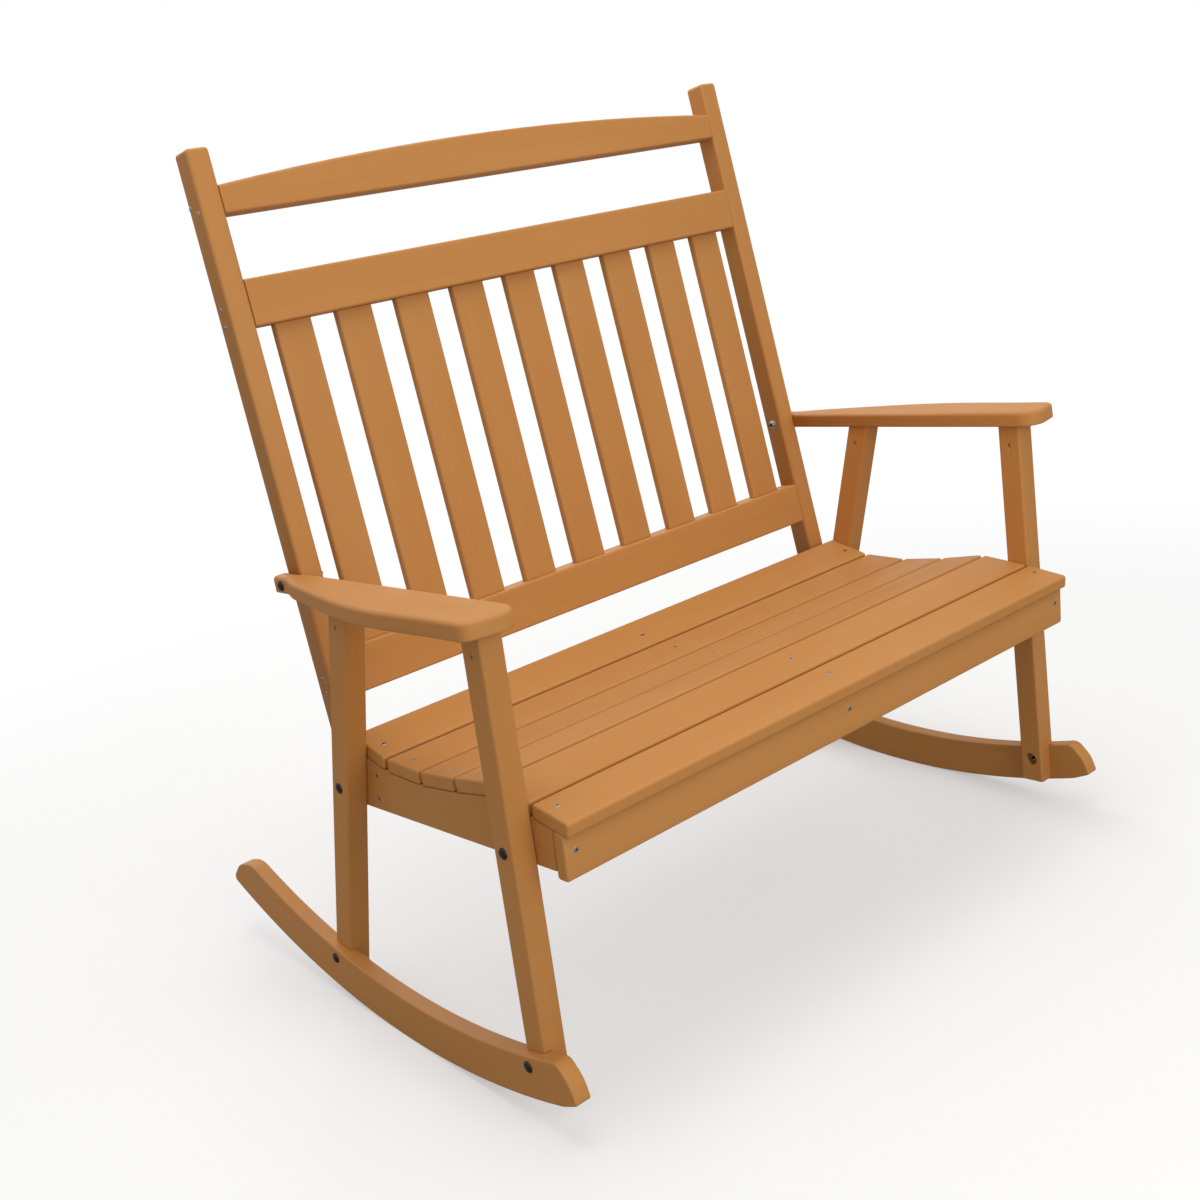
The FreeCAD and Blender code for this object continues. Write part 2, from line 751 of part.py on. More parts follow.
os.makedirs("parts", exist_ok=True)
for name, solid in nodes.items():
    solid.translate(Vector(0, shift, 0))
    solid.exportStep("parts/" + name + ".step")
print("pieces", len(nodes), "tilt back", round(rest_tilt, 3), "shift", round(shift, 2))
print("width", round(box.XLength, 1), "depth", round(box.YLength, 1), "height", round(box.ZMax, 1))
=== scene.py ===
# %% [markdown]
# # A rocking bench in cedar-coloured plastic boards
#
# The bench in the photograph is sawn, rounded and bolted together like joinery, but its boards
# show no grain: they are solid coloured polyethylene.
# Every board, bolt and nut is already here at its real size and place, as a node of the packed
# frame. This script gives each its finish, and where the solid has flat chamfers or flat sides
# but the real piece is softly rounded, it makes a finer piece in the same place.

# %% Load the frame
import math

import bpy
import numpy as np
from mathutils import Matrix, Vector


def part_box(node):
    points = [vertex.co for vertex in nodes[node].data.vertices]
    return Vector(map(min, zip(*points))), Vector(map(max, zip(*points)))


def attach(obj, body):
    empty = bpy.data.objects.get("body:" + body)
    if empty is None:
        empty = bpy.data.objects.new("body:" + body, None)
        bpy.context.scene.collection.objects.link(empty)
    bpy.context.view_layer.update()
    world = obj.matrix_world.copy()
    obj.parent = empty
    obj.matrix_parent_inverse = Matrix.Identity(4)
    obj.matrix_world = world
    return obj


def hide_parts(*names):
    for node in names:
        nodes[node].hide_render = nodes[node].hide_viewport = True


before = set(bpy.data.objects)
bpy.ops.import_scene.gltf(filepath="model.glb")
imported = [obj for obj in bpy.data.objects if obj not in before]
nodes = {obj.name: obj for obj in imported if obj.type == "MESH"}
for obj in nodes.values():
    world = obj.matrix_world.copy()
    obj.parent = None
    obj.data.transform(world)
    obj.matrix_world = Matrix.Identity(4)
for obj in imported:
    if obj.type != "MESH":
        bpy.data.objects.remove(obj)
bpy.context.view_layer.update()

# %% [markdown]
# ## From the drawing to the floor
#
# The bench is easiest to draw with x across it, y from front to back, z up, and the centre of
# the rockers' arc straight above the origin. The real bench stands where it balances, rolled
# back a little. So every new piece is worked out in the drawing, in millimetres, and one function
# sets it down: it rolls the points about the arc's centre, moves them along the floor and turns
# millimetres into Blender's metres.

# %% Set down
MM = 0.001
ARC_RADIUS = 1437.5     # of the rockers' running edge
ROLL = math.radians(1.893)
ALONG_FLOOR = -52.17


def set_down(points):
    """The points as the bench stands. With h the height above the arc's centre and a the roll,
    y becomes y cos a + h sin a, and h becomes h cos a - y sin a."""
    x, y, z = np.moveaxis(np.asarray(points, float), -1, 0)
    height = z - ARC_RADIUS
    rolled_y = y * math.cos(ROLL) + height * math.sin(ROLL) + ALONG_FLOOR
    rolled_z = height * math.cos(ROLL) - y * math.sin(ROLL) + ARC_RADIUS
    return np.stack([x, rolled_y, rolled_z], -1) * MM


def leaning(degrees):
    """Unit direction (y, z) that leans back by the angle as it rises."""
    return np.array([math.sin(math.radians(degrees)), math.cos(math.radians(degrees))])


print("the arc's centre stands at", set_down([0, 0, ARC_RADIUS]).round(4), "m")

# %% [markdown]
# ## A piece from its points and faces
#
# A finished piece rides on the bench's one body and, unless it is a screw, stands for a CAD
# node, which it hides. Then it also prints how far its box is from the node's. The left-hand
# piece is the right-hand one with x turned round. That turns its faces inside out as well, so
# their corners are read backwards for it.

# %% Put a piece in place
SIDES = (("right", 1), ("left", -1))
finer_pieces = {}       # each by the CAD node it stands for


def add_object(name, data):
    """An object that holds the data, in the scene."""
    made = bpy.data.objects.new(name, data)
    bpy.context.scene.collection.objects.link(made)
    return made


def add_piece(name, points, faces, node=None, side=1):
    """Adds a smooth piece drawn on the right-hand side, or with side -1 its mirror image."""
    placed = set_down(np.asarray(points).reshape(-1, 3) * (side, 1, 1))
    mesh = bpy.data.meshes.new(name)
    mesh.from_pydata(placed.tolist(), [], [face[::side] for face in faces])
    mesh.polygons.foreach_set("use_smooth", np.ones(len(mesh.polygons), bool))
    piece = add_object(name, mesh)
    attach(piece, "root")
    if node:
        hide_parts(node)
        finer_pieces[node] = piece
        low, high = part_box(node)
        gap = max(np.abs(placed.min(0) - low).max(), np.abs(placed.max(0) - high).max()) / MM
        print(f"{name}: {len(mesh.polygons)} faces, {gap:.2f} mm from {node}")
    return piece


def add_pair(name, points, faces, node):
    """Adds the right-hand piece and its mirror image."""
    for side, sign in SIDES:
        add_piece(f"{name}_{side}", points, faces, f"{node}_{side}", sign)


def ring_faces(rows, columns, closed=False):
    """Faces between the rows of a grid whose rows are closed rings. Corner (i, j) is point
    i * columns + j, and a closed grid also joins its last row to its first."""
    i, j = np.meshgrid(np.arange(rows if closed else rows - 1), np.arange(columns), indexing="ij")
    next_i, next_j = (i + 1) % rows, (j + 1) % columns
    corners = [i * columns + j, i * columns + next_j, next_i * columns + next_j, next_i * columns + j]
    return np.stack(corners, -1).reshape(-1, 4).tolist()


# %% [markdown]
# ## A sawn outline with rounded corners
#
# Every board starts as an outline that a saw or router follows: a few sharp corners, each with
# its own rounding. A corner that turns by an angle t is replaced by an arc which begins
# r tan(t / 2) before it. One more point on each side of the arc keeps the straight parts' shading
# flat.

# %% Rounded outline
CORNER_STEPS = 8
FLAT_MARGIN = 1.0       # mm of flat kept beside every rounding


def rounded_outline(corners, radii):
    """Outline that runs anticlockwise through the corners. Each one with a radius becomes an
    arc: its centre is a radius to the inner side of the arc's first point, and the spoke to
    that point turns by a growing share of the corner's angle."""
    corners = np.asarray(corners, float)
    radii = np.asarray(radii, float)
    run_in = corners - np.roll(corners, 1, 0)
    run_in /= np.linalg.norm(run_in, axis=1)[:, None]
    run_out = np.roll(run_in, -1, 0)
    crossed = run_in[:, 0] * run_out[:, 1] - run_in[:, 1] * run_out[:, 0]
    turn = np.arctan2(crossed, (run_in * run_out).sum(1))
    reach = (radii * np.tan(np.abs(turn) / 2))[:, None]
    start = corners - run_in * reach
    inner_side = np.stack([-run_in[:, 1], run_in[:, 0]], 1) * np.sign(turn)[:, None]
    centre = start + inner_side * radii[:, None]
    angle = (turn[:, None] * np.linspace(0, 1, CORNER_STEPS + 1))[..., None]
    spoke = (start - centre)[:, None]
    turned_spoke = np.stack([-spoke[..., 1], spoke[..., 0]], -1)
    arc = centre[:, None] + spoke * np.cos(angle) + turned_spoke * np.sin(angle)
    before = (start - run_in * FLAT_MARGIN)[:, None]
    after = (corners + run_out * (reach + FLAT_MARGIN))[:, None]
    points = np.concatenate([before, arc, after], 1)
    keep = np.tile((radii > 0)[:, None], points.shape[1])
    keep[:, 1] = True
    return points[keep]


def outline_from(parts):
    """Rounded outline from parts in order: each is a corner, or a row of them, and its radius."""
    rows = [(np.reshape(corners, (-1, 2)), radius) for corners, radius in parts]
    radii = [np.full(len(corners), float(radius)) for corners, radius in rows]
    return rounded_outline(np.concatenate([corners for corners, _ in rows]), np.concatenate(radii))


# %% [markdown]
# ## A board with soft rims
#
# After sawing, a round-over cutter runs along the rims, and they catch the light on every arm and
# rocker. A Bevel modifier would treat both rims alike, but the arms have a wide round-over above
# and a small one below. So the board is drawn as a stack of rings: the outline, moved inwards
# and lifted along a quarter circle at each rim.

# %% Soft board
RIM_STEPS = 6


def inward(outline):
    """How each point moves when the outline shrinks by one unit: the sum of its two sides'
    inward normals, over one plus their dot product, so that every side moves by the same."""
    side = np.roll(outline, -1, 0) - outline
    side /= np.linalg.norm(side, axis=1)[:, None]
    normal = np.stack([-side[:, 1], side[:, 0]], 1)
    before = np.roll(normal, 1, 0)
    return (before + normal) / (1 + (before * normal).sum(1))[:, None]


def soft_board(outline, thickness, low_rim, high_rim):
    """Board between the levels 0 and its thickness. At an angle a round a rim of radius r, the
    ring is moved inwards by r (1 - sin a) and stands r (1 - cos a) inside the flat face."""
    angle = np.linspace(0, np.pi / 2, RIM_STEPS + 1)
    low_in, low_up = low_rim * (1 - np.sin(angle)), low_rim * (1 - np.cos(angle))
    high_in, high_up = high_rim * (1 - np.sin(angle[::-1])), high_rim * (1 - np.cos(angle[::-1]))
    inset = np.hstack([low_rim + FLAT_MARGIN, low_in, 0, 0, high_in, high_rim + FLAT_MARGIN])
    level = np.hstack([0, low_up, low_rim + FLAT_MARGIN,
                       thickness - high_rim - FLAT_MARGIN, thickness - high_up, thickness])
    rings = outline + inward(outline) * inset[:, None, None]
    levels = np.broadcast_to(level[:, None, None], rings.shape[:2] + (1,))
    rows, columns = rings.shape[:2]
    first_face = list(range(columns))[::-1]
    last_face = list(range((rows - 1) * columns, rows * columns))
    return np.concatenate([rings, levels], 2), ring_faces(rows, columns) + [first_face, last_face]


# %% [markdown]
# ## The rockers
#
# A rocker is a thin board sawn to two arcs: a running edge, and an upper edge whose circle has
# its centre a little further forward, so the board grows deeper towards the tail. The nose
# sweeps down to a low tip, below which the running edge is cut away a little, and at the tail
# the upper edge turns down in three bends to meet the running edge. A board is worked out lying
# flat and then stood on edge: here its outline is (y, z) and its thickness is x.

# %% Rockers
ROCKER_INNER = 583.5        # x of the inner face
ROCKER_THICKNESS = 26.0
ROCKER_RIM = 2.2
TOP_RADIUS = ARC_RADIUS - 67.5
TOP_SHIFT = -20.0           # y of the upper circle's centre
NOSE_TIP = (-379.9, 56.0)
NOSE_TIP_ROUND = 5.0
NOSE_BEND = (-371.7, 83.0)  # between the steep lower part of the sweep and its slanted upper part
NOSE_BEND_ROUND = 50.0
NOSE_LEAN = 43.5            # of the upper part
NOSE_CREST_ROUND = 18.0     # where it meets the upper edge
NOSE_UNDERCUT = -347.5      # y where the cut below the tip leaves the running edge
UNDERCUT_ROUND = 100.0
TAIL_REACH = 577.0
TAIL_TIP_ROUND = 3.6
TAIL_START = 500.0          # y where the upper edge turns down
TAIL_START_ROUND = 60.0
TAIL_BENDS = [((577.2, 131.5), 10.0), ((549.0, 158.5), 60.0)]   # each with its rounding
ARC_MARGIN = 32.0           # kept free of points beside the rounded corners
RUNNING_POINTS = 90
UPPER_POINTS = 80


def arc_points(y, shift, radius):
    """Points of a circle's lower side: its centre is as high as the arc's centre."""
    return np.stack([y, ARC_RADIUS - np.sqrt(radius ** 2 - (y - shift) ** 2)], -1)


def rocker_outline():
    """Nose, running edge, tail and upper edge, in that order. The nose's upper corner is where its
    slanted part meets the upper circle, the root of a quadratic in the length of that part."""
    bend, run = np.array(NOSE_BEND), leaning(NOSE_LEAN)
    gap = bend - (TOP_SHIFT, ARC_RADIUS)
    half = run @ gap
    nose_high = bend + run * (-half - math.sqrt(half ** 2 - gap @ gap + TOP_RADIUS ** 2))
    undercut, tail_low = arc_points(np.array([NOSE_UNDERCUT, TAIL_REACH]), 0, ARC_RADIUS)
    tail_high = arc_points(np.array([TAIL_START]), TOP_SHIFT, TOP_RADIUS)[0]
    running_y = np.linspace(NOSE_UNDERCUT + ARC_MARGIN, TAIL_REACH - ARC_MARGIN, RUNNING_POINTS)
    upper_y = np.linspace(TAIL_START - ARC_MARGIN, nose_high[0] + ARC_MARGIN, UPPER_POINTS)
    return outline_from([
        (NOSE_TIP, NOSE_TIP_ROUND), (undercut, UNDERCUT_ROUND), (arc_points(running_y, 0, ARC_RADIUS), 0),
        (tail_low, TAIL_TIP_ROUND), *TAIL_BENDS, (tail_high, TAIL_START_ROUND),
        (arc_points(upper_y, TOP_SHIFT, TOP_RADIUS), 0),
        (nose_high, NOSE_CREST_ROUND), (bend, NOSE_BEND_ROUND)])


flat_rocker, rocker_faces = soft_board(rocker_outline(), ROCKER_THICKNESS, ROCKER_RIM, ROCKER_RIM)
rocker_points = np.roll(flat_rocker, 1, -1) + (ROCKER_INNER, 0, 0)
add_pair("rocker_board", rocker_points, rocker_faces, "rocker")

# %% [markdown]
# ## The arms
#
# An arm is a paddle: its outer edge swells out behind the front leg and draws in to a narrow tab
# that is bolted to the post. Such an edge is drawn by bending a thin batten through a few marks.
# A cubic spline is that batten's formula: it passes through the marks, its slope and its bend
# never jump, and here its slope is zero at both ends.

# %% Batten curve
def batten(marks, at):
    """Cubic spline through (y, x) marks with level ends, read at some y. One linear system gives
    the slopes: it says that the bend is equal on both sides of each inner mark."""
    y, x = np.asarray(marks, float).T
    step = np.diff(y)
    grade = np.diff(x) / step
    system = np.eye(len(y))
    inner = np.arange(1, len(y) - 1)
    system[inner, inner - 1] = step[1:]
    system[inner, inner] = 2 * (step[:-1] + step[1:])
    system[inner, inner + 1] = step[:-1]
    right = np.zeros(len(y))
    right[1:-1] = 3 * (step[1:] * grade[:-1] + step[:-1] * grade[1:])
    slope = np.linalg.solve(system, right)
    k = np.clip(np.searchsorted(y, at) - 1, 0, len(step) - 1)
    t = (at - y[k]) / step[k]
    start, end = slope[k] * step[k], slope[k + 1] * step[k]
    rise = x[k + 1] - x[k]
    return x[k] + t * start + t ** 2 * (3 * rise - 2 * start - end) + t ** 3 * (start + end - 2 * rise)


# %% Arms
POST_OUTER = 557.0          # x of the posts' outer faces
POST_INNER = 519.0
POST_DEPTH = 42.0
BACK_LEAN = 7.1
BACK_FOOT = 95.5            # y where the plane of the posts' front faces would meet the floor
ARM_UNDERSIDE = 691.5       # at y = 0
ARM_RISE = 0.92             # in degrees, towards the front
ARM_THICKNESS = 26.0
ARM_RIM_ABOVE = 6.0
ARM_RIM_BELOW = 3.0
ARM_FRONT = -379.0
ARM_INNER_FRONT = 11.0      # how far the inner edge stands inside the post's outer face
ARM_INNER_REAR = 5.0
ARM_FRONT_ROUND = 30.0      # of the inner front corner
ARM_CORNER_ROUND = 18.0     # of the outer front corner
ARM_TAB = 583.0             # x of the tab's outer face
ARM_MARKS = [(-357, 632), (-270, 634), (-170, 639.5), (-70, 635), (30, 619.5), (110, 604),
             (160, 592.5), (194, ARM_TAB)]      # y and x of the outer edge
SWELL_FROM, SWELL_TO = -338, 188    # y of the first and last points read off the batten
SWELL_POINTS = 84
ARM_TAB_ROUND = 7.5
ARM_PAST_POST = 3.0
ARM_CLEARANCE = 0.3         # between the arm and the post's front face


def arm_to_drawing(points):
    """The level arm turned up by its rise and set on the legs."""
    x, y, z = np.moveaxis(points, -1, 0)
    rise = leaning(ARM_RISE)
    return np.stack([x, y * rise[1] + z * rise[0], ARM_UNDERSIDE - y * rise[0] + z * rise[1]], -1)


def arm_outline():
    """The paddle from above, from its inner front corner round to its throat at the post."""
    lean, rise = math.tan(math.radians(BACK_LEAN)), math.radians(ARM_RISE)
    throat_z = (ARM_UNDERSIDE - BACK_FOOT * math.tan(rise)) / (1 + lean * math.tan(rise))
    throat = (BACK_FOOT + lean * throat_z) / math.cos(rise)
    behind_post = math.tan(math.radians(BACK_LEAN + ARM_RISE)) * ARM_THICKNESS + POST_DEPTH
    tab_end = throat + behind_post + ARM_PAST_POST
    swell = np.linspace(SWELL_FROM, SWELL_TO, SWELL_POINTS)
    return outline_from([
        ((POST_OUTER - ARM_INNER_FRONT, ARM_FRONT), ARM_FRONT_ROUND),
        (ARM_MARKS[0][::-1], ARM_CORNER_ROUND),
        (np.stack([batten(ARM_MARKS, swell), swell], -1), 0),
        (ARM_MARKS[-1][::-1], 0), ((ARM_TAB, tab_end), ARM_TAB_ROUND), ((POST_OUTER, tab_end), 0),
        ((POST_OUTER, throat - ARM_CLEARANCE), 0),
        ((POST_OUTER - ARM_INNER_REAR, throat - ARM_CLEARANCE), 0)])


level_arm, arm_faces = soft_board(arm_outline(), ARM_THICKNESS, ARM_RIM_BELOW, ARM_RIM_ABOVE)
add_pair("arm_board", arm_to_drawing(level_arm), arm_faces, "arm")

# %% [markdown]
# ## The seat slats, the apron and the posts
#
# A slat is its section, a small rounded rectangle, carried along the whole length, with eased
# ends. The slats follow each other in a shallow dip, each at its own slope, and the front one is
# narrower. The apron below it is made the same way, with its lower edges rounded. A post is the
# other way round: its front face is the outline, because the two corners at its top are rounded
# more than its edges.

# %% Seat slats
SEAT_REAR = (126.0, 462.0)  # y and z of the rear slat's upper rear corner
SLAT_THICKNESS = 22.0
SLAT_END = 556.0
SLAT_ROUND = 4.5
SLAT_END_RIM = 3.0
SLAT_GAP = 6.0
SLAT_LEAST_GAP = 1.5        # between the lower corners where two slats meet in a crest
SLAT_WIDTHS = (85.5, 84.5, 84.5, 84.5, 84.5, 74.0)      # from the rear to the front
SLAT_SLOPES = (14.9, 1.4, -5.8, -8.5, 6.7, 9.3)         # positive falls towards the front


def falling(degrees):
    """Unit direction (y, z) towards the front that falls by the angle, and the one square to it."""
    angle = math.radians(degrees)
    return np.array([-math.cos(angle), -math.sin(angle)]), np.array([math.sin(angle), -math.cos(angle)])


seat_line = []
corner = np.array(SEAT_REAR)
for index, (width, slope) in enumerate(zip(SLAT_WIDTHS, SLAT_SLOPES)):
    forward, under = falling(slope)
    seat_line.append((corner, forward, under, width))
    front, down = corner + forward * width, under * SLAT_THICKNESS
    section = rounded_outline([front + down, corner + down, corner, front], [SLAT_ROUND] * 4)
    points, faces = soft_board(section, 2 * SLAT_END, SLAT_END_RIM, SLAT_END_RIM)
    number = str(index + 1)
    add_piece("seat_board_" + number, np.roll(points, 1, -1) - (SLAT_END, 0, 0), faces,
              "seat_slat_" + number)
    if index + 1 < len(SLAT_WIDTHS):
        following = SLAT_SLOPES[index + 1]
        crest = math.sin(math.radians(following)) - math.sin(math.radians(slope))
        gap = max(SLAT_GAP, SLAT_LEAST_GAP + SLAT_THICKNESS * crest)
        corner = corner + forward * width + falling((slope + following) / 2)[0] * gap

# %% Apron
APRON_POINT = np.array([-381.0, 391.0])     # on its front face
APRON_RUN = leaning(-5.5)
APRON_THICKNESS = 22.0
APRON_BOTTOM = 350.0
APRON_ROUND = 5.0           # of its two lower edges
APRON_END_RIM = 3.5


def meet(point, run, other, other_run):
    """Where the line through a point along its run meets another line."""
    gap = other - point
    return point + run * np.linalg.det([gap, other_run]) / np.linalg.det([run, other_run])


last_corner, last_forward, last_under, _ = seat_line[-1]
underside = last_corner + last_under * SLAT_THICKNESS
apron_back = APRON_POINT + APRON_THICKNESS * np.array([APRON_RUN[1], -APRON_RUN[0]])
low_line = np.array([0, APRON_BOTTOM]), np.array([1, 0])
high_line = underside, last_forward
section = outline_from([
    (meet(APRON_POINT, APRON_RUN, *low_line), APRON_ROUND),
    (meet(apron_back, APRON_RUN, *low_line), APRON_ROUND),
    (meet(apron_back, APRON_RUN, *high_line), 0),
    (meet(APRON_POINT, APRON_RUN, *high_line), 0)])
points, faces = soft_board(section, 2 * POST_OUTER, APRON_END_RIM, APRON_END_RIM)
add_piece("apron_board", np.roll(points, 1, -1) - (POST_OUTER, 0, 0), faces, "apron")

# %% Posts
POST_FOOT = 349.13          # along the lean, from the floor to the post's lower end
POST_LENGTH = 1379.0        # and to its top
POST_ROUND = 4.5
POST_TOP_ROUND = 6.2


def back_to_drawing(points):
    """A piece of the back, drawn upright with its front at y = 0, leaned back and put in place."""
    x, depth, along = np.moveaxis(np.asarray(points, float), -1, 0)
    back, up = leaning(BACK_LEAN)
    return np.stack([x, BACK_FOOT + along * back + depth * up, along * up - depth * back], -1)


post_front = outline_from([
    ([(POST_INNER, POST_FOOT), (POST_OUTER, POST_FOOT)], 0),
    ([(POST_OUTER, POST_LENGTH), (POST_INNER, POST_LENGTH)], POST_TOP_ROUND)])
flat_post, post_faces = soft_board(post_front, POST_DEPTH, POST_ROUND, POST_ROUND)
upright_post = flat_post[..., [0, 2, 1]]
post_faces = [corners[::-1] for corners in post_faces]
add_pair("post_board", back_to_drawing(upright_post), post_faces, "post")

# %% [markdown]
# ## The round-headed bolts
#
# Ten carriage bolts hold the frame together. Their domed heads sit outside and their tails show
# past the nuts inside. Each is one profile swept round an axis, as if turned on a lathe, and its
# two ends close in a point.

# %% Turned pieces
BOLT_RADIUS = 3.0
HEAD_RADIUS = 8.3
HEAD_HEIGHT = 3.9
HEAD_WALL = 0.7         # upright part of the head's rim
WASHER_THICKNESS = 1.4
NUT_HEIGHT = 5.0
BOLT_TAIL = 3.0
TAIL_CHAMFER = [(0, 2.0), (0.02, 2.1), (0.4, 2.45)]     # distance from the tip, and radius
THREAD_START = 0.6
THREAD_PITCH = 1.0
THREAD_DEPTH = 0.45
HEAD_EASE = 0.2             # taken off the rims of the heads and washers
HEAD_EASE_HEIGHT = 0.15
TURNED_COLUMNS = 40
DOME_STEPS = 9


def with_poles(rings, poles):
    """Points and faces of a stack of closed rings whose two ends each close in a point."""
    rows, columns = rings.shape[:2]
    points = np.concatenate([rings.reshape(-1, 3), poles])
    around = np.arange(columns)
    following = np.roll(around, -1)
    last = (rows - 1) * columns
    low_fan = np.stack([following, around, np.full(columns, len(points) - 2)], -1)
    high_fan = np.stack([last + around, last + following, np.full(columns, len(points) - 1)], -1)
    return points, ring_faces(rows, columns) + low_fan.tolist() + high_fan.tolist()


def turned(profile):
    """Surface of revolution about the x axis. A point (x, r) of the profile becomes the ring
    (x, r cos t, r sin t), and the first and last points of the profile are its poles."""
    x, r = np.asarray(profile, float)[1:-1].T[..., None]
    t = np.linspace(0, 2 * np.pi, TURNED_COLUMNS, endpoint=False)
    rings = np.stack(np.broadcast_arrays(x, r * np.cos(t), r * np.sin(t)), -1)
    return with_poles(rings, [(profile[0][0], 0, 0), (profile[-1][0], 0, 0)])


def bolt_profile(head, nut_face):
    """From the tail's tip to the top of the dome: a chamfer, a few threads, the plain shank, and
    a head whose dome is a quarter of an ellipse."""
    tip = nut_face - WASHER_THICKNESS - NUT_HEIGHT - BOLT_TAIL
    thread = np.arange(THREAD_START, BOLT_TAIL + THREAD_PITCH, THREAD_PITCH / 2)
    crest = np.where(np.arange(len(thread)) % 2, BOLT_RADIUS, BOLT_RADIUS - THREAD_DEPTH)
    turn = np.linspace(0, np.pi / 2, DOME_STEPS)
    dome = head + HEAD_WALL + (HEAD_HEIGHT - HEAD_WALL) * np.sin(turn)
    return np.concatenate([
        [(tip, 0)], [(tip + along, radius) for along, radius in TAIL_CHAMFER],
        np.stack([tip + thread, crest], -1),
        [(nut_face, BOLT_RADIUS), (head, BOLT_RADIUS)],
        [(head, HEAD_RADIUS - HEAD_EASE), (head + HEAD_EASE_HEIGHT, HEAD_RADIUS)],
        np.stack([dome, HEAD_RADIUS * np.cos(turn)], -1)])


# %% Bolts
ROCKER_OUTER = ROCKER_INNER + ROCKER_THICKNESS
LEG_OUTER = 595.0
COUNTERBORE_END = 570.0     # x of the bottom of the rocker bolts' sunk nut holes
BOLTS = (                   # kind, which one, y and z, and x of the faces under head and nut
    ("rocker", "_front", (-281.07, 77.07), ROCKER_OUTER, COUNTERBORE_END),
    ("rocker", "_rear", (238.25, 74.59), ROCKER_OUTER, COUNTERBORE_END),
    ("leg", "_front", (-296.86, 388.0), LEG_OUTER, POST_INNER),
    ("leg", "_rear", (129.86, 388.0), LEG_OUTER, POST_INNER),
    ("arm", "", (204.51, 701.22), ARM_TAB, POST_INNER),
)
for kind, where, (y, z), head, nut_face in BOLTS:
    points, faces = turned(bolt_profile(head, nut_face))
    node = f"{kind}_bolt{where}"
    add_pair("domed_" + node, points + (0, y, z), faces, node)

# %% [markdown]
# ## The nuts and washers
#
# A hexagon nut is a hexagonal bar whose corners were turned off to a cone at both ends, which
# leaves the curved lines on its flats: at each angle its radius is the smaller of the hexagon's
# and the cone's. The washer below it is part of the same closed ring, which runs once round the
# outside and comes back through the bore.

# %% Nuts
NUT_HALF = 5.0          # half of the width across the flats
NUT_CONE = 4.85         # radius where the cone starts
CONE_GROWTH = 1.73      # of the radius, for each unit of height
NUT_LEVELS = np.array([0, 0.12, 0.25, 0.4, 0.55, 0.7, 4.3, 4.6, 4.9])     # up from its free end
WASHER_RADIUS = 8.25
BORE_RADIUS = 3.15
NUT_COLUMNS = 48
# Height and radius of the other rings, at the nut's free end and then on the washer
FREE_END = [(0.3, BORE_RADIUS), (0, BORE_RADIUS + 0.35), (0, NUT_CONE - 0.25)]
WASHER = [(0, NUT_CONE + 0.3), (0, WASHER_RADIUS - 0.3), (HEAD_EASE, WASHER_RADIUS),
          (WASHER_THICKNESS - HEAD_EASE, WASHER_RADIUS), (WASHER_THICKNESS, WASHER_RADIUS - HEAD_EASE),
          (WASHER_THICKNESS, BORE_RADIUS + 0.1), (WASHER_THICKNESS - 0.1, BORE_RADIUS)]


def nut_and_washer():
    """Closed ring of a profile (x, r) round the x axis, with x = 0 on the bearing face. Over the
    nut's height the radius is the smaller of the hexagon's, half / cos(t from the middle of a
    flat), and the cone's, which grows with the height from either end."""
    t = np.linspace(0, 2 * np.pi, NUT_COLUMNS, endpoint=False)
    hexagon = NUT_HALF / np.cos(np.mod(t, np.pi / 3) - np.pi / 6)
    cone = NUT_CONE + CONE_GROWTH * np.minimum(NUT_LEVELS, NUT_HEIGHT - NUT_LEVELS)
    end, washer = np.array(FREE_END), np.array(WASHER)
    x = np.hstack([end[:, 0], NUT_LEVELS, washer[:, 0] + NUT_HEIGHT]) - NUT_HEIGHT - WASHER_THICKNESS
    r = np.concatenate([np.tile(end[:, 1:], NUT_COLUMNS), np.minimum(hexagon, cone[:, None]),
                        np.tile(washer[:, 1:], NUT_COLUMNS)])
    points = np.stack([np.broadcast_to(x[:, None], r.shape), r * np.cos(t), r * np.sin(t)], -1)
    return points, ring_faces(len(x), NUT_COLUMNS, closed=True)


points, faces = nut_and_washer()
for kind, where, (y, z), _, nut_face in BOLTS:
    node = f"{kind}_nut{where}"
    add_pair("hexagon_" + node, points + (nut_face, y, z), faces, node)

# %% [markdown]
# ## The small screws
#
# Stainless screws hold the slats, the apron and the rails. They are too small for the solids,
# but their bright rims with a dark square socket are easy to see on the real bench. One head is
# worked out, as a turned shape whose socket follows a rounded square, and copied to every place.
# A value stored on each point marks the socket, so that the steel's material can paint it
# near-black: painted shade in a socket too shallow to fall dark by itself.

# %% Screw heads
SCREW_COLUMNS = 24
SCREW_RIM = [(3.4, -0.5), (4.2, -0.1), (4.2, 0.12), (3.95, 0.3), (3.2, 0.46), (2.4, 0.52)]
SOCKET_HALF = 1.35
SOCKET_WALL = [(1.08, 0.54), (0.96, 0.5), (0.9, 0.06)]  # share of the socket's radius, and height
SCREW_FOOT, SOCKET_FLOOR = -0.5, 0.05
LARGEST_TURN = np.pi / 2    # a square socket looks the same after that
turns = np.random.default_rng(11)


